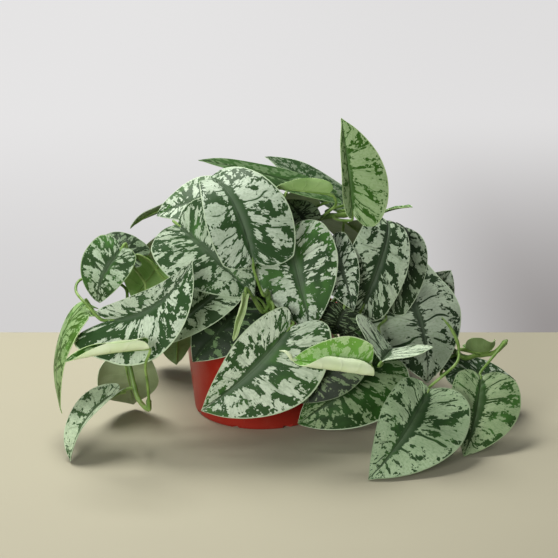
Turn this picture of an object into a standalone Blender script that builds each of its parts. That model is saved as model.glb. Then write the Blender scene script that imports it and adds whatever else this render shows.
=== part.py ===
# Potted silver splash pothos (Scindapsus pictus) in a plastic nursery pot.
# Units are metres, +Z is up, the plant's front looks along -Y and the origin is the centre of
# the pot's flat base. Positions in the tables below are whole millimetres.
import math

import bmesh
import bpy
import numpy as np
from mathutils import Matrix, Vector

MM = 0.001

# Driving dimensions, in millimetres
LIP_RADIUS = 77.0
BASE_RADIUS = 65.0
POT_HEIGHT = 98.0
LIP_HEIGHT = 17.0
LIP_STEP = 3.0
WALL = 1.8
POT_FLOOR = 5.0
POT_SIDES = 36
DRAIN_COUNT = 8
DRAIN_RADIUS = 4.0
DRAIN_CIRCLE = 44.0
NOTCH_HEIGHT = 3.0
NOTCH_WIDTH = 12.0
NOTCH_DEPTH = 5.0
SOIL_TOP = 86.0
SOIL_CROWN = 1.5
FIT_GAP = 0.35

BLADE_THICKNESS = 0.7
BLADE_ROWS = 8
SMALL_BLADE_ROWS = 6
SMALL_BLADE_WIDTH = 50
ROLLED_BEND = 60
BLADE_COLUMNS = 2
ROLLED_COLUMNS = 3
PETIOLE_RADIUS = 1.5
PETIOLE_STEPS = 6
VINE_RADIUS = 2.4
VINE_STEPS = 3
STEM_ROOT = 14.0
STALK_SQUARE = 9.0
STALK_GAP = 0.55
HOLE_GAP = 0.45

# Blade outline: distance along the midrib and out from it, as fractions of the blade's length
# and width, from the petiole's joint round a lobe to the tip.
MARGIN = (
    (0.0, 0.0),
    (-0.05, 0.045),
    (-0.115, 0.14),
    (-0.12, 0.26),
    (-0.03, 0.385),
    (0.13, 0.47),
    (0.33, 0.49),
    (0.53, 0.42),
    (0.71, 0.30),
    (0.86, 0.165),
    (0.95, 0.06),
    (1.0, 0.0),
)

# How a blade is bent, in degrees: droop, side and twist along the midrib, the fold at the midrib
# and how far each half rolls towards its margin. "late" moves the droop towards the tip, "lobe"
# sets how far the lobes reach behind the joint, "skew" makes the left half wider and "shoulder"
# narrows it beside the joint.
PLAIN_BLADE = {
    "width": 80, "droop": 25, "side": 0, "twist": 0, "fold": 8, "left": -15, "right": -15,
    "skew": 0.0, "late": 1.2, "lobe": 0.55, "shoulder": 0.0,
}

# Stems, each through a plain hole in the soil, as points in millimetres.
VINES = {
    "vine_crown": ((12, -28, 88), (14, -34, 128), (26, -34, 168), (50, -26, 194), (84, -10, 196)),
    "vine_left_top": ((-20, -18, 88), (-26, -24, 130), (-42, -34, 168), (-58, -40, 190)),
    "vine_left_trail": (
        (-38, -34, 88), (-60, -42, 112), (-88, -54, 130), (-112, -66, 120), (-124, -76, 92),
        (-119, -86, 64), (-113, -94, 44), (-103, -102, 36), (-102, -108, 49),
    ),
    "vine_front": ((2, -46, 88), (10, -66, 104), (12, -84, 120), (8, -92, 136), (6, -92, 148)),
    "vine_right_front": (
        (36, -44, 88), (52, -53, 102), (74, -60, 100), (95, -63, 99), (101, -76, 97),
        (104, -94, 88),
    ),
    "vine_right_trail": (
        (52, -12, 88), (72, -2, 110), (104, 26, 118), (140, 38, 98), (172, 20, 66), (193, -14, 55),
        (207, -26, 61), (221, -38, 68), (231, -48, 84),
    ),
    "vine_back": ((4, 34, 88), (6, 44, 128), (2, 56, 150), (-4, 84, 140), (-8, 108, 100)),
    "vine_back_left": ((-34, 24, 88), (-52, 34, 120), (-78, 48, 120), (-96, 64, 90)),
    "vine_back_right": ((42, 26, 88), (62, 40, 120), (88, 60, 118), (100, 72, 100)),
}

# Each leaf: the blade's joint and tip, the direction its upper face looks, the stem that carries
# it with the place along that stem, the blade's bends and any points that its stalk passes.
LEAVES = {
    "crown_front": {
        "joint": (-6, -112, 180), "tip": (-50, -44, 234), "face": (0.3, -0.92, 0.25),
        "stem": ("vine_front", 1.0),
        "bend": {"width": 80, "droop": 110, "late": 2.6, "fold": 12, "left": -14, "right": -18,
                 "skew": -0.14, "lobe": 0.35, "side": 26},
        "via": ((-3, -110, 164),),
    },
    "front_low": {
        "joint": (26, -106, 116), "tip": (-54, -116, 40), "face": (0.1, -0.95, 0.12),
        "stem": ("vine_front", 0.8),
        "bend": {"width": 88, "droop": 14, "side": -16, "fold": 16, "left": -20, "right": -8,
                 "skew": 0.26, "lobe": 1.3},
        "via": ((14, -103, 126),),
    },
    "front_mid": {
        "joint": (25, -66, 195), "tip": (46, -92, 108), "face": (0.0, -0.95, 0.3),
        "stem": ("vine_crown", 0.55),
        "bend": {"width": 80, "droop": 25},
    },
    "left_mid": {
        "joint": (-75, -64, 201), "tip": (-5, -96, 142), "face": (-0.3, -0.65, 0.7),
        "stem": ("vine_left_top", 1.0),
        "bend": {"width": 84, "droop": 30, "fold": 10, "lobe": 0.5},
    },
    "left_reach": {
        "joint": (-135, -98, 121), "tip": (-60, -114, 182), "face": (0.1, -0.75, 0.65),
        "stem": ("vine_left_trail", 0.413),
        "bend": {"width": 64, "droop": -4, "side": 60, "fold": 16, "skew": -0.45, "lobe": 1.9},
        "via": ((-146, -94, 121), (-158, -84, 131), (-169, -70, 139), (-167, -54, 145),
                (-150, -46, 146), (-126, -50, 136)),
    },
    "left_low": {
        "joint": (-26, -84, 152), "tip": (-105, -84, 88), "face": (-0.3, -0.75, 0.5),
        "stem": ("vine_front", 0.6),
        "bend": {"width": 46, "droop": 12},
        "via": ((-16, -84, 150),),
    },
    "pot_left": {
        "joint": (-14, -58, 127), "tip": (-63, -80, 74), "face": (-0.2, -0.85, 0.3),
        "stem": ("vine_front", 0.45),
        "bend": {"width": 66, "droop": 15},
        "via": ((0, -62, 128),),
    },
    "left_back_top": {
        "joint": (-32, -34, 220), "tip": (-97, -30, 200), "face": (-0.35, -0.45, 0.8),
        "stem": ("vine_left_top", 0.6),
        "bend": {"width": 62, "droop": 30},
    },
    "left_high_back": {
        "joint": (-68, 6, 205), "tip": (-125, 2, 179), "face": (-0.5, 0.3, 0.7),
        "stem": ("vine_left_top", 0.9),
        "bend": {"width": 60, "droop": 30},
    },
    "left_roof": {
        "joint": (-118, -46, 165), "tip": (-162, -44, 170), "face": (-0.1, -0.28, 0.95),
        "stem": ("vine_left_trail", 0.253),
        "bend": {"width": 60, "droop": 35, "skew": -0.2, "lobe": 2.0},
        "via": ((-114, -50, 168), (-102, -52, 162), (-92, -52, 148)),
    },
    "left_hang": {
        "joint": (-126, -76, 182), "tip": (-148, -78, 131), "face": (-0.5, -0.85, 0.2),
        "stem": ("vine_left_trail", 0.333),
        "bend": {"width": 54, "droop": 80, "late": 2.4, "skew": -0.15},
        "via": ((-120, -70, 170), (-108, -58, 146)),
    },
    "left_under": {
        "joint": (-97, -29, 150), "tip": (-122, -24, 116), "face": (0.2, 0.95, 0.2),
        "stem": ("vine_left_top", 0.95),
        "bend": {"width": 70, "droop": 15},
        "via": ((-82, -34, 178),),
    },
    "far_left": {
        "joint": (-160, -71, 125), "tip": (-185, -86, 25), "face": (-1.0, -0.25, 0.3),
        "stem": ("vine_left_trail", 0.467),
        "bend": {"width": 60, "droop": 125, "late": 0.3, "fold": 0, "lobe": 1.0, "left": -20,
                 "right": -10},
        "via": ((-160, -72, 132), (-147, -74, 114)),
    },
    "left_rolled": {
        "joint": (-102, -148, 112), "tip": (-171, -154, 102), "face": (0.0, -0.55, 0.85),
        "stem": ("vine_left_trail", 1.0),
        "bend": {"width": 34, "droop": 15, "fold": 35, "left": 120, "right": 120},
        "via": ((-101, -142, 94), (-101, -124, 68)),
    },
    "left_foot": {
        "joint": (-130, -100, 52), "tip": (-171, -142, 2), "face": (-0.75, -0.4, 0.5),
        "stem": ("vine_left_trail", 0.7),
        "bend": {"width": 44, "droop": 60, "fold": 25, "skew": -0.2},
    },
    "left_floor": {
        "joint": (-130, -40, 63), "tip": (-125, -12, 5), "face": (-0.1, 0.9, -0.1),
        "stem": ("vine_left_trail", 0.5),
        "bend": {"width": 66, "droop": -20, "fold": 0, "left": -50, "right": -50},
    },
    "roof_long": {
        "joint": (64, -14, 216), "tip": (-57, -34, 254), "face": (-0.05, -0.12, 1.0),
        "stem": ("vine_crown", 0.8),
        "bend": {"width": 62, "droop": 10},
    },
    "roof_back": {
        "joint": (81, 28, 196), "tip": (3, 34, 241), "face": (0.1, -0.2, 0.95),
        "stem": ("vine_crown", 0.85),
        "bend": {"width": 60, "droop": 14},
        "via": ((84, 10, 200),),
    },
    "roof_rolled": {
        "joint": (61, -62, 230), "tip": (11, -64, 235), "face": (0.0, 0.2, 1.0),
        "stem": ("vine_crown", 0.77),
        "bend": {"width": 26, "droop": 5, "fold": 45, "left": 75, "right": 75},
        "via": ((68, -54, 216),),
    },
    "upright": {
        "joint": (85, -30, 202), "tip": (74, -16, 289), "face": (0.55, -0.8, 0.1),
        "stem": ("vine_crown", 0.9),
        "bend": {"width": 52, "droop": -12, "side": 14, "fold": 22, "left": -10, "right": -10,
                 "skew": -0.5, "lobe": 0.8},
    },
    "right_spike": {
        "joint": (115, 14, 192), "tip": (143, 2, 200), "face": (0.0, 0.08, 1.0),
        "stem": ("vine_crown", 1.0),
        "bend": {"width": 26, "droop": 18},
        "via": ((98, 2, 196),),
    },
    "right_big": {
        "joint": (94, -54, 117), "tip": (111, 20, 173), "face": (0.2, -0.95, 0.3),
        "stem": ("vine_right_trail", 0.165),
        "bend": {"width": 60, "droop": 150, "late": 1.9, "fold": 8, "skew": 0.08, "left": -15,
                 "right": -22, "lobe": 0.5},
        "via": ((84, -44, 104), (80, -24, 106)),
    },
    "right_big_back": {
        "joint": (116, -34, 114), "tip": (131, 38, 168), "face": (0.4, -0.9, 0.35),
        "stem": ("vine_right_front", 0.8),
        "bend": {"width": 54, "droop": 120, "late": 2.0, "lobe": 0.3},
        "via": ((118, -34, 101), (110, -48, 97)),
    },
    "right_narrow": {
        "joint": (65, -48, 184), "tip": (85, -84, 125), "face": (0.3, -0.9, 0.3),
        "stem": ("vine_crown", 0.75),
        "bend": {"width": 50, "droop": 20, "skew": -0.3},
    },
    "right_wide": {
        "joint": (136, 14, 127), "tip": (157, -52, 42), "face": (0.35, -0.85, 0.4),
        "stem": ("vine_right_trail", 0.375),
        "bend": {"width": 118, "droop": 60, "fold": 0, "left": -25, "right": -25, "lobe": 2.4,
                 "skew": -0.08, "late": 2.0},
    },
    "right_behind": {
        "joint": (161, 40, 89), "tip": (187, 50, 122), "face": (0.5, -0.6, 0.6),
        "stem": ("vine_right_trail", 0.45),
        "bend": {"width": 44, "droop": 20},
    },
    "behind_mid": {
        "joint": (76, -76, 125), "tip": (66, -80, 101), "face": (0.1, -0.9, 0.3),
        "stem": ("vine_right_front", 0.3),
        "bend": {"width": 42, "droop": 15},
        "via": ((80, -74, 118),),
    },
    "behind_low": {
        "joint": (89, -73, 106), "tip": (74, -82, 93), "face": (0.1, -0.8, 0.5),
        "stem": ("vine_right_front", 0.55),
        "bend": {"width": 32, "droop": 15},
    },
    "centre_rolled": {
        "joint": (96, -133, 86), "tip": (28, -146, 101), "face": (0, -0.85, 0.5),
        "stem": ("vine_right_front", 1.0),
        "bend": {"width": 62, "droop": 8, "fold": 5, "left": 290, "right": 25, "skew": 0.1,
                 "lobe": 0.35, "shoulder": 0.9},
        "via": ((100, -112, 82),),
    },
    "centre_boat": {
        "joint": (108, -126, 92), "tip": (121, -84, 89), "face": (0.34, 0.0, 0.95),
        "stem": ("vine_right_front", 0.8),
        "bend": {"width": 92, "droop": 8, "fold": 36, "left": 0, "right": 0, "lobe": 0.3, "side": 0,
                 "skew": 0},
        "via": ((110, -106, 84),),
    },
    "low_right": {
        "joint": (115, -63, 75), "tip": (34, -84, 14), "face": (0.15, -0.9, 0.3),
        "stem": ("vine_right_front", 0.5),
        "bend": {"width": 78, "droop": 50, "skew": 0.18, "late": 2.2},
        "via": ((102, -56, 82),),
    },
    "low_shadow": {
        "joint": (83, -98, 86), "tip": (19, -98, 42), "face": (0.0, -0.85, 0.45),
        "stem": ("vine_right_front", 0.42),
        "bend": {"width": 52, "droop": 12},
        "via": ((80, -92, 90), (70, -80, 98)),
    },
    "floor_right": {
        "joint": (153, -106, 57), "tip": (95, -180, 1.5), "face": (0.1, -0.62, 0.75),
        "stem": ("vine_right_trail", 0.64),
        "bend": {"width": 80, "droop": 12, "side": -20, "fold": 8, "left": -14, "right": -14,
                 "skew": 0.22, "lobe": 0.5},
        "via": ((178, -92, 76), (184, -66, 79)),
    },
    "floor_far_right": {
        "joint": (204, -76, 58), "tip": (184, -130, 1.5), "face": (0.15, -0.65, 0.7),
        "stem": ("vine_right_trail", 1.0),
        "bend": {"width": 68, "droop": 15, "side": -14, "skew": 0.2},
        "via": ((216, -62, 72),),
    },
    "shadow_right": {
        "joint": (177, -34, 47), "tip": (246, -14, 30), "face": (0.1, -0.25, 0.95),
        "stem": ("vine_right_trail", 0.6),
        "bend": {"width": 60, "droop": 20},
    },
    "right_rolled": {
        "joint": (193, -44, 74), "tip": (221, -32, 79), "face": (-0.1, 0.6, 0.8),
        "stem": ("vine_right_trail", 0.78),
        "bend": {"width": 30, "droop": -110, "fold": 25, "left": 40, "right": 40, "late": 2.0},
    },
    "inner": {
        "joint": (13, -50, 161), "tip": (0, -54, 120), "face": (0.0, -0.9, 0.3),
        "stem": ("vine_crown", 0.22),
        "bend": {"width": 44, "droop": 10},
    },
    "top_behind": {
        "joint": (44, -50, 196), "tip": (24, -40, 218), "face": (0.0, -0.6, 0.7),
        "stem": ("vine_crown", 0.55),
        "bend": {"width": 36, "droop": 20},
    },
    "pale_sheath": {
        "joint": (-13, -116, 150), "tip": (-24, -118, 108), "face": (0.0, -1.0, 0.0),
        "stem": ("vine_front", 0.7),
        "bend": {"width": 18, "droop": 8, "fold": 35, "left": 80, "right": 80},
    },
    "pot_side": {
        "joint": (-78, -54, 92), "tip": (-80, -50, 60), "face": (-0.5, 0.85, 0.1),
        "stem": ("vine_left_trail", 0.16),
        "bend": {"width": 34, "droop": 10},
    },
    "back_high": {
        "joint": (22, 62, 196), "tip": (6, 116, 128), "face": (-0.1, 0.7, 0.75),
        "stem": ("vine_back", 0.5),
        "bend": {"width": 84, "droop": 30},
    },
    "back_top": {
        "joint": (-14, 30, 206), "tip": (-76, 48, 168), "face": (-0.4, 0.2, 0.9),
        "stem": ("vine_back", 0.35),
        "bend": {"width": 76, "droop": 30},
        "via": ((-4, 36, 186),),
    },
    "back_left": {
        "joint": (-62, 50, 168), "tip": (-122, 88, 92), "face": (-0.5, 0.6, 0.6),
        "stem": ("vine_back_left", 0.5),
        "bend": {"width": 82, "droop": 28},
    },
    "back_right": {
        "joint": (84, 44, 172), "tip": (136, 92, 96), "face": (0.4, 0.6, 0.6),
        "stem": ("vine_back_right", 0.5),
        "bend": {"width": 84, "droop": 28},
    },
    "back_mid": {
        "joint": (-10, 92, 146), "tip": (-28, 132, 58), "face": (-0.2, 0.9, 0.4),
        "stem": ("vine_back", 0.75),
        "bend": {"width": 88, "droop": 26},
    },
    "back_low_left": {
        "joint": (-84, 72, 100), "tip": (-112, 104, 24), "face": (-0.5, 0.75, 0.4),
        "stem": ("vine_back_left", 1.0),
        "bend": {"width": 70, "droop": 20},
    },
    "back_low_right": {
        "joint": (102, 88, 92), "tip": (120, 124, 14), "face": (0.4, 0.85, 0.4),
        "stem": ("vine_back_right", 1.0),
        "bend": {"width": 76, "droop": 22},
    },
    "back_floor": {
        "joint": (12, 126, 72), "tip": (42, 174, 6), "face": (0.2, 0.7, 0.7),
        "stem": ("vine_back", 1.0),
        "bend": {"width": 70, "droop": 18},
    },
}

MATERIALS = {
    "pot_plastic": ((0.46, 0.022, 0.008, 1.0), 0.42),
    "soil": ((0.030, 0.020, 0.013, 1.0), 0.95),
    "stem": ((0.16, 0.25, 0.055, 1.0), 0.50),
    "leaf": ((0.11, 0.19, 0.085, 1.0), 0.48),
    "young_leaf": ((0.25, 0.38, 0.13, 1.0), 0.48),
}
YOUNG_LEAVES = ("upright", "centre_rolled", "left_rolled", "far_left", "roof_rolled",
                "right_spike", "right_rolled", "pale_sheath")


def make_material(name):
    colour, roughness = MATERIALS[name]
    material = bpy.data.materials.new(name)
    material.use_nodes = True
    shader = material.node_tree.nodes["Principled BSDF"]
    shader.inputs["Base Color"].default_value = colour
    shader.inputs["Roughness"].default_value = roughness
    shader.inputs["Metallic"].default_value = 0.0
    return material


def add_object(name, mesh, material, collection):
    obj = bpy.data.objects.new(name, mesh)
    collection.objects.link(obj)
    mesh.materials.clear()
    mesh.materials.append(material)
    return obj


def smooth_line(points, step_count):
    # Catmull-Rom curve through the points
    ends = [points[0] * 2 - points[1]] + list(points) + [points[-1] * 2 - points[-2]]
    line = []
    for index in range(len(points) - 1):
        before, start, end, after = ends[index:index + 4]
        for step in range(step_count):
            part = step / step_count
            line.append(0.5 * (
                start * 2 + (end - before) * part
                + (before * 2 - start * 5 + end * 4 - after) * part ** 2
                + (start * 3 - before - end * 3 + after) * part ** 3
            ))
    line.append(Vector(points[-1]))
    return line


def tube_mesh(name, line, radius, end_radius):
    # Closed tube along a line given in millimetres
    data = bpy.data.curves.new(name, "CURVE")
    data.dimensions = "3D"
    data.bevel_depth = radius * MM
    data.bevel_resolution = 1
    data.use_fill_caps = True
    spline = data.splines.new("POLY")
    spline.points.add(len(line) - 1)
    for index, place in enumerate(line):
        part = index / (len(line) - 1)
        spline.points[index].co = (*(place * MM), 1.0)
        spline.points[index].radius = 1 + (end_radius / radius - 1) * part
    holder = bpy.data.objects.new(name, data)
    bpy.context.scene.collection.objects.link(holder)
    graph = bpy.context.evaluated_depsgraph_get()
    mesh = bpy.data.meshes.new_from_object(holder.evaluated_get(graph))
    bpy.data.objects.remove(holder)
    bpy.data.curves.remove(data)
    shape = bmesh.new()
    shape.from_mesh(mesh)
    bmesh.ops.remove_doubles(shape, verts=shape.verts, dist=0.00001)
    bmesh.ops.recalc_face_normals(shape, faces=shape.faces)
    shape.to_mesh(mesh)
    shape.free()
    return mesh


def margin_point(part):
    # Smooth blade outline at a part of the way round one half
    last = len(MARGIN) - 1
    place = min(max(part, 0.0) * last, last - 1e-9)
    index = int(place)
    rest = place - index
    near = [MARGIN[min(max(index + shift, 0), last)] for shift in (-1, 0, 1, 2)]
    before, start, end, after = (np.array(value) for value in near)
    return 0.5 * (
        2 * start + (end - before) * rest
        + (2 * before - 5 * start + 4 * end - after) * rest ** 2
        + (3 * start - before - 3 * end + after) * rest ** 3
    )


class Blade:
    # A blade bent along its midrib and across it, fitted between its joint and its tip
    stations = 28
    face_station = 10
    roll_steps = 32

    def __init__(self, joint, tip, face, bend):
        self.bend = {**PLAIN_BLADE, **bend}
        self.make_midrib(Vector(joint), Vector(tip), Vector(face))
        self.rolls = {1: self.make_roll("left"), -1: self.make_roll("right")}

    def make_midrib(self, joint, tip, face):
        bend = self.bend
        turn = Matrix.Identity(3)
        place = Vector((0.0, 0.0, 0.0))
        places = [place.copy()]
        turns = [turn.copy()]
        for index in range(self.stations):
            start = index / self.stations
            end = (index + 1) / self.stations
            late_share = end ** bend["late"] - start ** bend["late"]
            turn = Matrix.Rotation(math.radians(bend["droop"]) * late_share, 3, turn.col[1]) @ turn
            turn = Matrix.Rotation(math.radians(bend["side"]) * (end - start), 3, turn.col[2]) @ turn
            turn = Matrix.Rotation(math.radians(bend["twist"]) * late_share, 3, turn.col[0]) @ turn
            place = place + turn.col[0] * (end - start)
            places.append(place.copy())
            turns.append(turn.copy())
        span = tip - joint
        self.length = span.length / place.length
        local = self.axes(place, turns[self.face_station].col[2])
        fit = self.axes(span, face) @ local.transposed()
        self.places = [joint + fit @ place * self.length for place in places]
        self.turns = [fit @ turn for turn in turns]

    def axes(self, forward, up):
        forward = forward.normalized()
        up = (up - forward * up.dot(forward)).normalized()
        return Matrix((forward, up, forward.cross(up))).transposed()

    def make_roll(self, half):
        # Distance out and height of one half's cross-section, from the midrib to its margin
        bend = self.bend
        step = bend["width"] / 2 / self.roll_steps
        out = [0.0]
        height = [0.0]
        for index in range(self.roll_steps * 3 // 2):
            angle = math.radians(bend["fold"] + bend[half] * (index + 0.5) / self.roll_steps)
            out.append(out[-1] + step * math.cos(angle))
            height.append(height[-1] + step * math.sin(angle))
        return out, height

    def frame(self, part):
        inside = min(max(part, 0.0), 1.0)
        index = min(int(inside * self.stations), self.stations - 1)
        rest = inside * self.stations - index
        place = self.places[index].lerp(self.places[index + 1], rest)
        turn = self.turns[index] * (1 - rest) + self.turns[index + 1] * rest
        return place + turn.col[0] * ((part - inside) * self.length), turn

    def point(self, row, out, side):
        # row runs from the joint to the tip, out from the midrib to the margin along a vein
        along, across = margin_point(row)
        if along < 0:
            along *= self.bend["lobe"] * (1 + side * self.bend["skew"])
        middle = row ** 1.45
        vein_bow = 0.1 * out * (1 - out) * math.sin(math.pi * row)
        part = middle + (along - middle) * out - vein_bow
        if side > 0:
            across *= 1 - self.bend["shoulder"] * (1 - row) ** 2
        reach = across * out * 2 * (1 + side * self.bend["skew"]) * self.roll_steps
        place, turn = self.frame(part)
        outs, heights = self.rolls[side]
        index = min(int(reach), len(outs) - 2)
        rest = reach - index
        x = outs[index] + (outs[index + 1] - outs[index]) * rest
        z = heights[index] + (heights[index + 1] - heights[index]) * rest
        return place + turn.col[1] * (side * x) + turn.col[2] * z


def blade_mesh(name, blade):
    rolled = max(abs(blade.bend["left"]), abs(blade.bend["right"])) > ROLLED_BEND
    columns = ROLLED_COLUMNS if rolled else BLADE_COLUMNS
    rows = SMALL_BLADE_ROWS if blade.bend["width"] < SMALL_BLADE_WIDTH else BLADE_ROWS
    shape = bmesh.new()
    bmesh.ops.create_grid(shape, x_segments=2 * columns, y_segments=rows, size=1.0)
    for vert in shape.verts:
        side = -1 if vert.co.x > 0 else 1
        vert.co = blade.point((vert.co.y + 1) / 2, abs(vert.co.x), side) * MM
    bmesh.ops.remove_doubles(shape, verts=shape.verts, dist=0.00001)
    bmesh.ops.triangulate(shape, faces=shape.faces, quad_method="FIXED")
    mesh = bpy.data.meshes.new(name)
    shape.to_mesh(mesh)
    shape.free()
    return mesh


def stem_place(line, part):
    # The middle of the straight stretch that holds this part of a stem, and its direction
    index = min(int(part * (len(line) - 1)), len(line) - 2)
    direction = (line[index + 1] - line[index]).normalized()
    return line[index].lerp(line[index + 1], 0.5), direction


def stalk_line(blade, leaf, stem_lines):
    # From just inside the blade, past the leaf's own points, square onto its stem
    start, turn = blade.frame(0.035)
    joint, joint_turn = blade.frame(0.0)
    points = [start, joint - joint_turn.col[0] * 6 - joint_turn.col[2] * 3]
    points += [Vector(value) for value in leaf.get("via", ())]
    name, part = leaf["stem"]
    place, direction = stem_place(stem_lines[name], part)
    toward = points[-1] - place
    toward = (toward - direction * toward.dot(direction)).normalized()
    points.append(place + toward * (VINE_RADIUS + STALK_SQUARE))
    points.append(place + toward * (VINE_RADIUS + STALK_GAP))
    steps = max(1, round(PETIOLE_STEPS / (len(points) - 1)))
    return smooth_line(points, steps)


def make_leaf(name, leaf, stem_lines, materials, collection):
    blade = Blade(leaf["joint"], leaf["tip"], leaf["face"], leaf["bend"])
    material = materials["young_leaf" if name in YOUNG_LEAVES else "leaf"]
    obj = add_object("leaf_" + name, blade_mesh(name, blade), material, collection)
    solidify = obj.modifiers.new("Thickness", "SOLIDIFY")
    solidify.thickness = BLADE_THICKNESS * MM
    solidify.offset = 0.0
    stalk = tube_mesh(name + "_stalk", stalk_line(blade, leaf, stem_lines), PETIOLE_RADIUS, PETIOLE_RADIUS)
    cutter = bpy.data.objects.new(name + "_stalk", stalk)
    collection.objects.link(cutter)
    union = obj.modifiers.new("Stalk", "BOOLEAN")
    union.operation = "UNION"
    union.solver = "MANIFOLD"
    union.object = cutter
    apply_modifiers(obj)
    bpy.data.objects.remove(cutter)
    return obj


def apply_modifiers(obj):
    graph = bpy.context.evaluated_depsgraph_get()
    mesh = bpy.data.meshes.new_from_object(obj.evaluated_get(graph))
    obj.modifiers.clear()
    obj.data = mesh


def turned_object(name, profile, material, collection):
    # Profile points are (radius, height) in millimetres, from the top inside round to the bottom
    shape = bmesh.new()
    verts = [shape.verts.new((radius * MM, 0.0, height * MM)) for radius, height in profile]
    for start, end in zip(verts, verts[1:]):
        shape.edges.new((start, end))
    mesh = bpy.data.meshes.new(name)
    shape.to_mesh(mesh)
    shape.free()
    obj = add_object(name, mesh, material, collection)
    screw = obj.modifiers.new("Turn", "SCREW")
    screw.steps = POT_SIDES
    screw.render_steps = POT_SIDES
    screw.use_merge_vertices = True
    screw.merge_threshold = 0.00001
    apply_modifiers(obj)
    return obj


def cylinder(name, radius, bottom, top, place, sides, collection):
    shape = bmesh.new()
    bmesh.ops.create_cone(
        shape, cap_ends=True, segments=sides, radius1=radius * MM, radius2=radius * MM,
        depth=(top - bottom) * MM, matrix=Matrix.Translation((0, 0, (top + bottom) / 2 * MM)),
    )
    mesh = bpy.data.meshes.new(name)
    shape.to_mesh(mesh)
    shape.free()
    obj = bpy.data.objects.new(name, mesh)
    obj.location = (place[0] * MM, place[1] * MM, 0)
    collection.objects.link(obj)
    return obj


def cut(obj, cutters):
    for cutter in cutters:
        cutter.hide_render = True
        cutter.display_type = "WIRE"
        difference = obj.modifiers.new(cutter.name, "BOOLEAN")
        difference.operation = "DIFFERENCE"
        difference.solver = "MANIFOLD"
        difference.object = cutter
    bpy.context.view_layer.update()
    apply_modifiers(obj)
    for cutter in cutters:
        bpy.data.objects.remove(cutter)


def make_pot(materials, collection):
    lip_base = POT_HEIGHT - LIP_HEIGHT
    body_top = LIP_RADIUS - LIP_STEP
    profile = (
        (0, POT_FLOOR),
        (BASE_RADIUS - WALL - 2, POT_FLOOR),
        (BASE_RADIUS - WALL, POT_FLOOR + 2),
        (body_top - WALL, lip_base),
        (LIP_RADIUS - WALL - 0.6, lip_base + 3),
        (LIP_RADIUS - WALL, POT_HEIGHT - 1),
        (LIP_RADIUS - WALL + 0.5, POT_HEIGHT),
        (LIP_RADIUS - 0.5, POT_HEIGHT),
        (LIP_RADIUS, POT_HEIGHT - 0.8),
        (LIP_RADIUS - 0.6, lip_base + 0.5),
        (LIP_RADIUS - 1.2, lip_base),
        (body_top, lip_base - 1),
        (BASE_RADIUS + 0.3, 2),
        (BASE_RADIUS - 1, 0),
        (0, 0),
    )
    pot = turned_object("pot", profile, materials["pot_plastic"], collection)
    cutters = []
    for index in range(DRAIN_COUNT):
        angle = math.tau * (index + 0.5) / DRAIN_COUNT
        place = (DRAIN_CIRCLE * math.cos(angle), DRAIN_CIRCLE * math.sin(angle))
        cutters.append(cylinder("drain", DRAIN_RADIUS, -2, POT_FLOOR + 2, place, 12, collection))
        notch = cylinder("notch", NOTCH_WIDTH / 2, -2, NOTCH_HEIGHT, (0, 0), 4, collection)
        reach = BASE_RADIUS - NOTCH_DEPTH + NOTCH_WIDTH / 2
        notch.location = (reach * MM * math.cos(angle), reach * MM * math.sin(angle), 0)
        notch.rotation_euler.z = angle
        cutters.append(notch)
    cut(pot, cutters)
    return pot


def make_soil(materials, collection, stem_lines):
    lip_base = POT_HEIGHT - LIP_HEIGHT
    gap = WALL + FIT_GAP
    rim = LIP_RADIUS - gap - 0.7
    dome = [(rim * part, SOIL_TOP - SOIL_CROWN * part ** 2) for part in (0, 0.25, 0.5, 0.75, 1)]
    profile = dome + [
        (rim, lip_base + 3.2),
        (LIP_RADIUS - LIP_STEP - gap, lip_base),
        (BASE_RADIUS - gap, POT_FLOOR + 2.2),
        (BASE_RADIUS - gap - 2, POT_FLOOR + FIT_GAP),
        (0, POT_FLOOR + FIT_GAP),
    ]
    soil = turned_object("soil", profile, materials["soil"], collection)
    holes = []
    for line in stem_lines.values():
        bottom = line[0].z - HOLE_GAP
        radius = VINE_RADIUS + HOLE_GAP
        holes.append(cylinder("hole", radius, bottom, SOIL_TOP + 10, line[0].xy, 8, collection))
    cut(soil, holes)
    return soil


def make_stems(materials, collection):
    lines = {}
    for name, points in VINES.items():
        above = [Vector(point) for point in points]
        root = above[0] - Vector((0, 0, STEM_ROOT + above[0].z - SOIL_TOP))
        line = [root] + smooth_line(above, VINE_STEPS)
        lines[name] = line
        mesh = tube_mesh(name, line, VINE_RADIUS, VINE_RADIUS)
        add_object(name, mesh, materials["stem"], collection)
    return lines


def main():
    for obj in list(bpy.data.objects):
        bpy.data.objects.remove(obj)
    collection = bpy.data.collections.new("potted_silver_splash_pothos")
    bpy.context.scene.collection.children.link(collection)
    materials = {name: make_material(name) for name in MATERIALS}
    stem_lines = make_stems(materials, collection)
    make_pot(materials, collection)
    make_soil(materials, collection, stem_lines)
    for name, leaf in LEAVES.items():
        make_leaf(name, leaf, stem_lines, materials, collection)


main()
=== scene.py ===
# Looks of the potted silver splash pothos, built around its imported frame, in metres.
# Places in the tables are in millimetres, as in the part's own source.
import math
import random

import bmesh
import bpy
from mathutils import Matrix, Vector, noise


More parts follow.
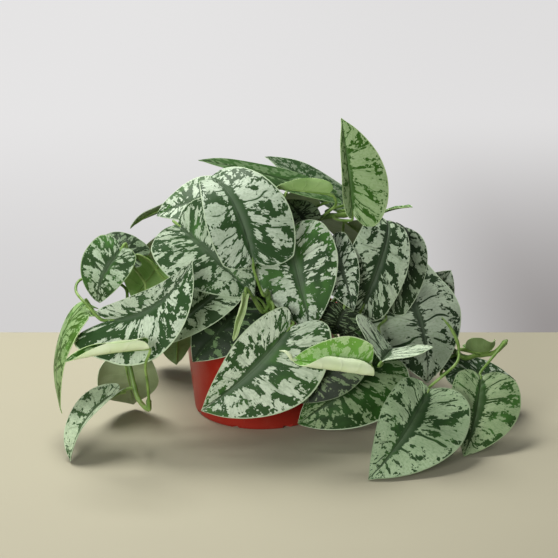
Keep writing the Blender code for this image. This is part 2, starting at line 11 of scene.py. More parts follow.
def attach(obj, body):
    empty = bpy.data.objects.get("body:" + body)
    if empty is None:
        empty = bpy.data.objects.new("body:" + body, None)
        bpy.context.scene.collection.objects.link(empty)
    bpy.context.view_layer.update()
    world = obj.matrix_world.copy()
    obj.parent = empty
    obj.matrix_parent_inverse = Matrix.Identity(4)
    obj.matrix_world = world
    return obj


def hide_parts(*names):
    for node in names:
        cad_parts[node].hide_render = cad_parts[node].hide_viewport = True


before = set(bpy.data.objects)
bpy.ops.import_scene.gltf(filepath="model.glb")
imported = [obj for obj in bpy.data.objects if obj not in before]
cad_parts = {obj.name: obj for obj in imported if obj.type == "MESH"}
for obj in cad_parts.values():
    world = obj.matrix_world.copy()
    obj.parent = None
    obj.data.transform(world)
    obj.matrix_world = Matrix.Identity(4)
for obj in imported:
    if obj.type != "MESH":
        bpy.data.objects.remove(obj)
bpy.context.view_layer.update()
print("frame loaded:", len(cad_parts), "nodes")

mm = 0.001
mergeDistance = 0.00001
sharpAngle = math.radians(48)
sideVeinCount = 8


def srgb(red, green, blue):  # a colour picked on screen, 0 to 255, as a shader colour
    shares = [value / 255 for value in (red, green, blue)]
    linear = [share / 12.92 if share < 0.04045 else ((share + 0.055) / 1.055) ** 2.4 for share in shares]
    return (*linear, 1.0)


def newObject(name, data):
    made = bpy.data.objects.new(name, data)
    bpy.context.scene.collection.objects.link(made)
    return made


# Camera and lights

cameraLook = {"place": (16.7, -1483.5, 599.4), "pitch": 17.6, "lens": 104.77, "sensor": 36.0}

camera = newObject("camera", bpy.data.cameras.new("camera"))
camera.location = Vector(cameraLook["place"]) * mm
camera.rotation_euler = (math.radians(90 - cameraLook["pitch"]), 0, 0)
camera.data.lens = cameraLook["lens"]
camera.data.sensor_width = cameraLook["sensor"]
camera.data.clip_start = 0.05
bpy.context.scene.camera = camera
bpy.context.scene.view_settings.view_transform = "Standard"

lightLooks = {
    "keyLight": {
        "place": (-340, 300, 1180), "aim": (0, -20, 60), "size": 720, "power": 17.9,
        "colour": (1.0, 0.985, 0.955),
    },
    "fillLight": {
        "place": (-900, -2100, 760), "aim": (0, 0, 150), "size": 900, "power": 29.0,
        "colour": (1.0, 0.995, 0.98),
    },
}
worldLook = {"colour": (0.95, 0.96, 1.0, 1.0), "strength": 0.16}


def makeLight(name, look):
    data = bpy.data.lights.new(name, "AREA")
    data.shape = "DISK"
    data.size = look["size"] * mm
    data.energy = look["power"]
    data.color = look["colour"]
    light = newObject(name, data)
    light.location = Vector(look["place"]) * mm
    aim = Vector(look["aim"]) * mm - light.location
    light.rotation_euler = aim.to_track_quat("-Z", "Y").to_euler()


for name, look in lightLooks.items():
    makeLight(name, look)
world = bpy.data.worlds.new("studio")
world.use_nodes = True
world.node_tree.nodes["Background"].inputs["Color"].default_value = worldLook["colour"]
world.node_tree.nodes["Background"].inputs["Strength"].default_value = worldLook["strength"]
bpy.context.scene.world = world


# Small helpers for node trees

def feed(tree, sockets, values):  # links a value that is a socket and sets any other
    for key, value in values.items():
        if isinstance(value, bpy.types.NodeSocket):
            tree.links.new(value, sockets[key])
        else:
            sockets[key].default_value = value


def addNode(tree, kind, inputs=None, **settings):
    made = tree.nodes.new("ShaderNode" + kind)
    for key, value in settings.items():
        setattr(made, key, value)
    feed(tree, made.inputs, inputs or {})
    return made


def maths(tree, operation, first, second=0.0, third=0.0):
    return addNode(tree, "Math", {0: first, 1: second, 2: third}, operation=operation).outputs[0]


def product(tree, first, second):
    return maths(tree, "MULTIPLY", first, second)


def scaled(tree, value, factor, added):  # value * factor + added
    return maths(tree, "MULTIPLY_ADD", value, factor, added)


def ramp(tree, value, low, high, start=0.0, end=1.0):  # smooth step from start to end
    ends = {"Value": value, "From Min": low, "From Max": high, "To Min": start, "To Max": end}
    return addNode(tree, "MapRange", ends, interpolation_type="SMOOTHSTEP").outputs["Result"]


def blendColours(tree, share, first, second):
    return addNode(tree, "Mix", {0: share, 6: first, 7: second}, data_type="RGBA").outputs[2]


def objectPlace(tree):
    return addNode(tree, "TexCoord").outputs["Object"]


def joinAxes(tree, across, along, depth):
    return addNode(tree, "CombineXYZ", {0: across, 1: along, 2: depth}).outputs[0]


def splitAxes(tree, place):
    return addNode(tree, "SeparateXYZ", {0: place}).outputs


def clouds(tree, place, scale, detail, roughness=0.5):
    settings = {"Vector": place, "Scale": scale, "Detail": detail, "Roughness": roughness}
    return addNode(tree, "TexNoise", settings).outputs[0]


def bladeNoise(tree, across, along, depth, detail, roughness=0.5):
    return clouds(tree, joinAxes(tree, across, along, depth), 1.0, detail, roughness)


def newGroup(name, inputs, outputs):  # sockets are (name, kind, starting value)
    tree = bpy.data.node_groups.new(name, "ShaderNodeTree")
    for label, kind, value in inputs:
        socket = tree.interface.new_socket(label, in_out="INPUT", socket_type="NodeSocket" + kind)
        socket.default_value = value
    for label, kind in outputs:
        tree.interface.new_socket(label, in_out="OUTPUT", socket_type="NodeSocket" + kind)
    return tree, tree.nodes.new("NodeGroupInput").outputs, tree.nodes.new("NodeGroupOutput").inputs


def placeGroup(tree, group, values):
    return addNode(tree, "Group", values, node_tree=group).outputs


def newMaterial(name):
    material = bpy.data.materials.new(name)
    material.use_nodes = True
    tree = material.node_tree
    return material, tree, tree.nodes["Principled BSDF"].inputs


def addBump(tree, shader, height, distance):
    bump = addNode(tree, "Bump", {"Height": height, "Distance": distance * mm, "Strength": 1.0})
    feed(tree, shader, {"Normal": bump.outputs[0]})


# Node groups: the blade's veins, the silver splash pattern, the skin of the stems and dust

def makeVeinGroup():
    # Follows the blade's own map: u runs out from the midrib at 0.5, v from the joint to the tip
    tree, given, out = newGroup("leafVeins", [("Count", "Float", 8.0), ("Seed", "Float", 0.0)],
                                [("Across", "Float"), ("Outward", "Float"), ("Along", "Float"),
                                 ("Veins", "Float"), ("Midrib", "Float"), ("Height", "Float")])
    parts = splitAxes(tree, addNode(tree, "UVMap", uv_map="veinMap").outputs[0])
    across = scaled(tree, parts[0], 2.0, -1.0)
    outward = maths(tree, "ABSOLUTE", across)
    wander = bladeNoise(tree, product(tree, across, 2.0), product(tree, parts[1], 6.0), given["Seed"], 1.0)
    line = scaled(tree, parts[1], given["Count"], product(tree, wander, 0.5))
    away = maths(tree, "PINGPONG", line, 0.5)
    veins = product(tree, ramp(tree, away, 0.09, 0.0), ramp(tree, outward, 0.98, 0.7))
    midrib = ramp(tree, outward, 0.045, 0.012)
    cellPlace = joinAxes(tree, product(tree, across, 9.0), product(tree, parts[1], 26.0), given["Seed"])
    cells = addNode(tree, "TexVoronoi", {"Vector": cellPlace, "Scale": 1.0},
                    feature="SMOOTH_F1").outputs["Distance"]
    quilt = scaled(tree, ramp(tree, away, 0.0, 0.5), 0.7, product(tree, cells, -0.35))
    feed(tree, out, {"Across": across, "Outward": outward, "Along": parts[1], "Veins": veins,
                     "Midrib": midrib, "Height": maths(tree, "SUBTRACT", quilt, midrib)})
    return tree


def makeSplashGroup(veinGroup):
    # Silver patches drawn out along the side veins, a jagged green band at the midrib, a pale edge
    tree, given, out = newGroup("silverSplash", [
        ("Silver", "Float", 0.5), ("Streak", "Float", 0.4), ("Band", "Float", 0.16),
        ("Brightness", "Float", 0.4), ("Vein Lines", "Float", 0.3), ("Seed", "Float", 0.0),
        ("Dark Green", "Color", (0, 0, 0, 1)), ("Bright Green", "Color", (0, 0, 0, 1)),
        ("Silver Colour", "Color", (0, 0, 0, 1)), ("Edge Colour", "Color", (0, 0, 0, 1)),
    ], [("Colour", "Color"), ("Roughness", "Float"), ("Height", "Float")])
    blade = placeGroup(tree, veinGroup, {"Count": sideVeinCount, "Seed": given["Seed"]})
    across, outward, along = blade["Across"], blade["Outward"], blade["Along"]
    wide = scaled(tree, given["Streak"], -0.5, 1.9)
    tall = scaled(tree, given["Streak"], 11.0, 10.0)
    jags = bladeNoise(tree, product(tree, across, 7.0), product(tree, along, 50.0),
                      maths(tree, "ADD", given["Seed"], 3.7), 4.0, 0.72)
    specks = bladeNoise(tree, product(tree, across, 17.0), product(tree, along, 88.0),
                        maths(tree, "ADD", given["Seed"], 9.1), 1.0)
    jagged = maths(tree, "SUBTRACT", jags, 0.5)
    speckled = maths(tree, "SUBTRACT", specks, 0.5)
    patches = bladeNoise(tree, product(tree, across, wide), product(tree, along, tall), given["Seed"], 1.0)
    islandPlace = joinAxes(tree, scaled(tree, jagged, 0.5, product(tree, across, wide)),
                           scaled(tree, jagged, 0.5, product(tree, along, tall)), given["Seed"])
    islands = addNode(tree, "TexVoronoi", {"Vector": islandPlace, "Scale": 1.0},
                      feature="DISTANCE_TO_EDGE").outputs["Distance"]
    nearEdge = ramp(tree, outward, 0.62, 0.96)
    dashes = bladeNoise(tree, product(tree, across, 5.0), product(tree, along, 72.0),
                        maths(tree, "ADD", given["Seed"], 31.0), 1.0)
    value = scaled(tree, ramp(tree, islands, 0.0, 0.28), 0.3, patches)
    value = scaled(tree, jagged, 0.85, value)
    value = scaled(tree, maths(tree, "SUBTRACT", dashes, 0.5), 0.5, value)
    value = scaled(tree, speckled, scaled(tree, nearEdge, 0.6, 0.22), value)
    level = scaled(tree, given["Silver"], -0.44, 0.84)
    level = scaled(tree, nearEdge, 0.07, level)
    patch = ramp(tree, maths(tree, "SUBTRACT", value, level), -0.014, 0.018)
    shaken = scaled(tree, jagged, 0.3, scaled(tree, speckled, 0.12, outward))
    shaken = scaled(tree, blade["Veins"], -0.1, shaken)
    bandEdge = product(tree, given["Band"], scaled(tree, along, -0.8, 1.3))
    outside = ramp(tree, maths(tree, "SUBTRACT", shaken, bandEdge), -0.014, 0.014)
    broken = ramp(tree, scaled(tree, jagged, 0.5, patches), 0.44, 0.56)
    lines = product(tree, product(tree, blade["Veins"], given["Vein Lines"]), broken)
    lines = ramp(tree, lines, 0.3, 0.45)
    silver = product(tree, product(tree, patch, outside), maths(tree, "SUBTRACT", 1.0, lines))
    broad = bladeNoise(tree, product(tree, across, 1.6), product(tree, along, 4.5),
                       maths(tree, "ADD", given["Seed"], 21.0), 3.0)
    bright = maths(tree, "ADD", broad, maths(tree, "SUBTRACT", given["Brightness"], 0.5))
    bright = ramp(tree, bright, 0.36, 0.66)
    green = blendColours(tree, bright, given["Dark Green"], given["Bright Green"])
    rib = blendColours(tree, 0.16, given["Dark Green"], given["Silver Colour"])
    centre = ramp(tree, outward, 0.16, 0.0, 0.0, 0.6)
    green = blendColours(tree, centre, green, rib)
    broad = ramp(tree, broad, 0.35, 0.65, 0.0, 0.2)
    shade = blendColours(tree, broad, given["Silver Colour"], given["Bright Green"])
    shade = blendColours(tree, ramp(tree, specks, 0.5, 0.3, 0.0, 0.24), shade, given["Bright Green"])
    shade = blendColours(tree, product(tree, blade["Veins"], 0.25), shade, given["Dark Green"])
    grain = bladeNoise(tree, product(tree, across, 6.0), product(tree, along, 170.0), given["Seed"], 2.0)
    shade = blendColours(tree, ramp(tree, grain, 0.35, 0.7, 0.0, 0.22), shade, given["Bright Green"])
    colour = blendColours(tree, silver, green, shade)
    colour = blendColours(tree, ramp(tree, outward, 0.966, 0.982), colour, given["Edge Colour"])
    rough = scaled(tree, silver, 0.07, scaled(tree, jags, 0.1, 0.46))
    feed(tree, out, {"Colour": colour, "Roughness": rough, "Height": blade["Height"]})
    return tree


def makeStemGroup():
    # Skin of stalks and stems: lengthwise streaks, paler flecks and browner patches
    tree, given, out = newGroup("stemSkin", [
        ("Scale", "Float", 60.0), ("Green", "Color", (0, 0, 0, 1)), ("Pale", "Color", (0, 0, 0, 1)),
        ("Brown", "Color", (0, 0, 0, 1)), ("Browning", "Float", 0.1),
    ], [("Colour", "Color"), ("Roughness", "Float"), ("Height", "Float")])
    place = objectPlace(tree)
    broad = clouds(tree, place, given["Scale"], 3.0)
    fine = clouds(tree, place, product(tree, given["Scale"], 12.0), 2.0)
    colour = blendColours(tree, ramp(tree, broad, 0.38, 0.64), given["Green"], given["Pale"])
    colour = blendColours(tree, product(tree, ramp(tree, fine, 0.55, 0.7), 0.35), colour, given["Pale"])
    worn = ramp(tree, scaled(tree, fine, 0.4, broad), 0.86, 0.98)
    colour = blendColours(tree, product(tree, worn, given["Browning"]), colour, given["Brown"])
    feed(tree, out, {"Colour": colour, "Roughness": scaled(tree, fine, 0.2, 0.36), "Height": fine})
    return tree


def makeDustGroup():
    # Faint scuffs and dust on moulded plastic, heavier towards the foot
    tree, given, out = newGroup("dust", [("Amount", "Float", 0.2), ("Scale", "Float", 40.0)],
                                [("Mask", "Float"), ("Height", "Float")])
    place = objectPlace(tree)
    cloud = clouds(tree, place, given["Scale"], 5.0, 0.62)
    stretched = addNode(tree, "Mapping", {"Vector": place, "Scale": (9.0, 9.0, 1.0)}).outputs[0]
    scuffs = clouds(tree, stretched, given["Scale"], 3.0)
    low = ramp(tree, splitAxes(tree, place)[2], 0.03, 0.0)
    mask = maths(tree, "MAXIMUM", ramp(tree, cloud, 0.5, 0.72), ramp(tree, scuffs, 0.62, 0.74))
    mask = product(tree, scaled(tree, low, 0.8, mask), given["Amount"])
    feed(tree, out, {"Mask": mask, "Height": scuffs})
    return tree


veinGroup = makeVeinGroup()
splashGroup = makeSplashGroup(veinGroup)
stemGroup = makeStemGroup()
dustGroup = makeDustGroup()
print("node groups made")


# Leaf, stem, pot and soil materials

leafColours = {
    "darkGreen": (46, 76, 38), "brightGreen": (66, 112, 46), "silver": (202, 216, 194),
    "edge": (190, 210, 176),
}
youngColours = {
    "darkGreen": (62, 106, 34), "brightGreen": (100, 154, 62), "silver": (178, 204, 152),
    "edge": (184, 212, 150),
}


def makeUpperMaterial(name, look, seed):
    # A leaf's own colours override the palette; for some leaves they carry painted shade or painted light
    chosen = {**(youngColours if look["young"] else leafColours), **look["colours"]}
    colours = {part: srgb(*colour) for part, colour in chosen.items()}
    material, tree, shader = newMaterial(name)
    splash = placeGroup(tree, splashGroup, {
        "Silver": look["silver"], "Streak": look["streak"], "Band": look["band"],
        "Brightness": look["bright"], "Vein Lines": look["lines"], "Seed": seed,
        "Dark Green": colours["darkGreen"], "Bright Green": colours["brightGreen"],
        "Silver Colour": colours["silver"], "Edge Colour": colours["edge"],
    })
    feed(tree, shader, {
        "Base Color": splash["Colour"], "Roughness": splash["Roughness"], "Specular IOR Level": 0.22})
    addBump(tree, shader, splash["Height"], look["bump"])
    return material


def makeUnderMaterial(name, green, pale):
    material, tree, shader = newMaterial(name)
    blade = placeGroup(tree, veinGroup, {"Count": sideVeinCount, "Seed": 2.0})
    cloud = clouds(tree, objectPlace(tree), 55.0, 4.0)
    colour = blendColours(tree, ramp(tree, cloud, 0.35, 0.68, 0.0, 0.5), green, pale)
    lines = maths(tree, "MAXIMUM", blade["Veins"], blade["Midrib"])
    colour = blendColours(tree, product(tree, lines, 0.2), colour, pale)
    feed(tree, shader, {
        "Base Color": colour, "Roughness": scaled(tree, cloud, 0.2, 0.45), "Specular IOR Level": 0.3})
    addBump(tree, shader, lines, 0.2)
    return material


def makeStemMaterial(name, look):
    material, tree, shader = newMaterial(name)
    skin = placeGroup(tree, stemGroup, look)
    feed(tree, shader, {"Base Color": skin["Colour"], "Roughness": skin["Roughness"]})
    addBump(tree, shader, skin["Height"], 0.12)
    return material


plasticLook = {
    "colour": srgb(164, 23, 5), "shade": srgb(142, 19, 4), "dust": srgb(176, 120, 98), "dustAmount": 0.22,
    "dustScale": 34.0, "dustShow": 0.5, "roughness": 0.33, "dustRoughness": 0.4, "specular": 0.28,
    "bump": 0.05,
}


def makePotMaterial(name, look):
    material, tree, shader = newMaterial(name)
    dust = placeGroup(tree, dustGroup, {"Amount": look["dustAmount"], "Scale": look["dustScale"]})
    colour = blendColours(tree, clouds(tree, objectPlace(tree), 14.0, 2.0), look["colour"], look["shade"])
    colour = blendColours(tree, product(tree, dust["Mask"], look["dustShow"]), colour, look["dust"])
    rough = scaled(tree, dust["Mask"], look["dustRoughness"], look["roughness"])
    feed(tree, shader, {"Base Color": colour, "Roughness": rough, "Specular IOR Level": look["specular"]})
    addBump(tree, shader, dust["Height"], look["bump"])
    return material


def makeSoilMaterial(name, look):
    material, tree, shader = newMaterial(name)
    cloud = clouds(tree, objectPlace(tree), look["scale"], 6.0, 0.7)
    colour = blendColours(tree, ramp(tree, cloud, 0.35, 0.7), srgb(*look["dark"]), srgb(*look["pale"]))
    feed(tree, shader, {
        "Base Color": colour, "Roughness": scaled(tree, cloud, 0.2, 0.8), "Specular IOR Level": 0.2})
    addBump(tree, shader, cloud, 0.8)
    return material


leafUnder = makeUnderMaterial("leafUnder", srgb(112, 140, 88), srgb(150, 174, 124))
youngUnder = makeUnderMaterial("youngUnder", srgb(216, 234, 186), srgb(236, 246, 218))
stalkSkin = makeStemMaterial("stalkSkin", {
    "Scale": 70.0, "Green": srgb(98, 134, 50), "Pale": srgb(140, 172, 92),
    "Brown": srgb(120, 104, 58), "Browning": 0.2,
})
vineSkin = makeStemMaterial("vineSkin", {
    "Scale": 45.0, "Green": srgb(86, 120, 46), "Pale": srgb(126, 156, 78),
    "Brown": srgb(112, 92, 56), "Browning": 0.6,
})
potPlastic = makePotMaterial("potPlastic", plasticLook)
soilEarth = makeSoilMaterial("soilEarth", {"dark": (30, 21, 15), "pale": (74, 55, 40), "scale": 260.0})
barkChips = makeSoilMaterial("barkChips", {"dark": (52, 34, 22), "pale": (104, 74, 50), "scale": 160.0})
perliteGrain = makeSoilMaterial("perliteGrain", {
    "dark": (188, 184, 174), "pale": (230, 228, 220), "scale": 300.0,
})
print("materials made")


# Shared mesh helpers

def keepPiece(name, mesh, materials, nodes=()):
    for material in materials:
        mesh.materials.append(material)
    mesh.set_sharp_from_angle(angle=sharpAngle)
    piece = newObject(name, mesh)
    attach(piece, "root")
    if nodes:
        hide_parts(*nodes)


def finishedMesh(holder):  # applies the holder's modifiers, then removes it
    graph = bpy.context.evaluated_depsgraph_get()
    mesh = bpy.data.meshes.new_from_object(holder.evaluated_get(graph))
    bpy.data.objects.remove(holder)
    return mesh


def meshOf(shape, name):
    mesh = bpy.data.meshes.new(name)
    shape.to_mesh(mesh)
    shape.free()
    return mesh


def smoothLine(points, stepCount):  # Catmull-Rom curve through the points
    ends = [points[0] * 2 - points[1]] + list(points) + [points[-1] * 2 - points[-2]]
    line = []
    for index in range(len(points) - 1):
        before, start, end, after = ends[index:index + 4]
        for step in range(stepCount):
            part = step / stepCount
            line.append(0.5 * (
                start * 2 + (end - before) * part
                + (before * 2 - start * 5 + end * 4 - after) * part ** 2
                + (start * 3 - before - end * 3 + after) * part ** 3
            ))
    line.append(Vector(points[-1]))
    return line


def tubeMesh(name, line, radii, materialIndex=0):  # round closed tube, places and radii in millimetres
    data = bpy.data.curves.new(name, "CURVE")
    data.dimensions = "3D"
    data.bevel_depth = mm
    data.bevel_resolution = 3
    data.use_fill_caps = True
    spline = data.splines.new("POLY")
    spline.points.add(len(line) - 1)
    for point, place, radius in zip(spline.points, line, radii):
        point.co = (*(place * mm), 1.0)
        point.radius = radius
    holder = newObject(name, data)
    shape = bmesh.new()
    shape.from_mesh(finishedMesh(holder))
    bpy.data.curves.remove(data)
    bmesh.ops.remove_doubles(shape, verts=shape.verts, dist=mergeDistance)
    bmesh.ops.recalc_face_normals(shape, faces=shape.faces)
    for face in shape.faces:
        face.smooth = True
        face.material_index = materialIndex
    return meshOf(shape, name)


def joinMeshes(name, meshes):
    shape = bmesh.new()
    for mesh in meshes:
        shape.from_mesh(mesh)
        bpy.data.meshes.remove(mesh)
    return meshOf(shape, name)


# Stems

vineLook = {
    "radius": 2.35, "steps": 10, "coarseSteps": 3, "rootDepth": 14.0, "soilTop": 86.0,
    "swelling": 0.24, "swellingLength": 3.5, "tipTaper": 6.0,
}

vineRoutes = {
    "vine_crown": ((12, -28, 88), (14, -34, 128), (26, -34, 168), (50, -26, 194), (84, -10, 196)),
    "vine_left_top": ((-20, -18, 88), (-26, -24, 130), (-42, -34, 168), (-58, -40, 190)),
    "vine_left_trail": (
        (-38, -34, 88), (-60, -42, 112), (-88, -54, 130), (-112, -66, 120), (-124, -76, 92),
        (-119, -86, 64), (-113, -94, 44), (-103, -102, 36), (-102, -108, 49),
    ),
    "vine_front": ((2, -46, 88), (10, -66, 104), (12, -84, 120), (8, -92, 136), (6, -92, 148)),
    "vine_right_front": (
        (36, -44, 88), (52, -53, 102), (74, -60, 100), (95, -63, 99), (101, -76, 97),
        (104, -94, 88),
    ),
    "vine_right_trail": (
        (52, -12, 88), (72, -2, 110), (104, 26, 118), (140, 38, 98), (172, 20, 66), (193, -14, 55),
        (207, -26, 61), (221, -38, 68), (231, -48, 84),
    ),
    "vine_back": ((4, 34, 88), (6, 44, 128), (2, 56, 150), (-4, 84, 140), (-8, 108, 100)),
    "vine_back_left": ((-34, 24, 88), (-52, 34, 120), (-78, 48, 120), (-96, 64, 90)),
    "vine_back_right": ((42, 26, 88), (62, 40, 120), (88, 60, 118), (100, 72, 100)),
}


def stemPlace(line, part):  # middle of the straight stretch of the frame's stem that carries a stalk
    index = min(int(part * (len(line) - 1)), len(line) - 2)
    direction = (line[index + 1] - line[index]).normalized()
    return line[index].lerp(line[index + 1], 0.5), direction


def vineLine(points, stepCount):
    above = [Vector(point) for point in points]
    root = above[0] - Vector((0, 0, vineLook["rootDepth"] + above[0].z - vineLook["soilTop"]))
    return [root] + smoothLine(above, stepCount)


vineLines = {name: vineLine(points, vineLook["coarseSteps"]) for name, points in vineRoutes.items()}


def makeVine(name, points, joints):
    line = vineLine(points, vineLook["steps"])
    lengths = [0.0]
    for start, end in zip(line, line[1:]):
        lengths.append(lengths[-1] + (end - start).length)
    radii = []
    for place, length in zip(line, lengths):
        nearest = min((place - joint).length for joint in joints)
        swell = 1 + vineLook["swelling"] * math.exp(-(nearest / vineLook["swellingLength"]) ** 2)
        taper = min(1.0, 0.35 + (lengths[-1] - length) / vineLook["tipTaper"])
        radii.append(vineLook["radius"] * swell * taper)
    mesh = tubeMesh(name + "_skin", line, radii)
    keepPiece(name + "_detail", mesh, [vineSkin], [name])


# Leaves: the margin is a share of the length and width, from the stalk's joint round to the tip

bladeMargin = (
    (0.0, 0.0),
    (-0.05, 0.045),
    (-0.115, 0.14),
    (-0.12, 0.26),
    (-0.03, 0.385),
    (0.13, 0.47),
    (0.33, 0.49),
    (0.53, 0.42),
    (0.71, 0.30),
    (0.86, 0.165),
    (0.95, 0.06),
    (1.0, 0.0),
)
plainBlade = {
    "width": 80, "droop": 25, "side": 0, "fold": 8, "left": -15, "right": -15,
    "skew": 0.0, "late": 1.2, "lobe": 0.55, "shoulder": 0.0,
}
plainLook = {
    "silver": 0.5, "streak": 0.4, "band": 0.15, "bright": 0.4, "lines": 0.35, "bump": 0.5, "quilt": 0.3,
    "wave": 0.7, "young": False, "colours": {}, "under": None, "shift": 0.0,
}
bladeLook = {
    "rows": 44, "columns": 14, "columnSpread": 1.25, "thickness": 0.55, "veinCount": sideVeinCount,
    "rowSpread": 1.45, "veinBow": 0.1, "groove": 0.7, "grooveWidth": 1.7, "waveLength": 0.31, "dents": 0.7,
    "ribSteps": 22, "ribReach": 0.9, "ribStart": 1.25, "ribEnd": 0.25,
}
stalkLook = {
    "radius": 1.3, "steps": 9, "tipSteps": 6, "flare": 0.4, "knee": 0.16, "kneePlace": 0.9,
    "kneeWidth": 0.07, "belowJoint": 0.9, "approach": 6, "approachBelow": 3, "clearOfStem": 9,
    "inStem": 1.2,
}

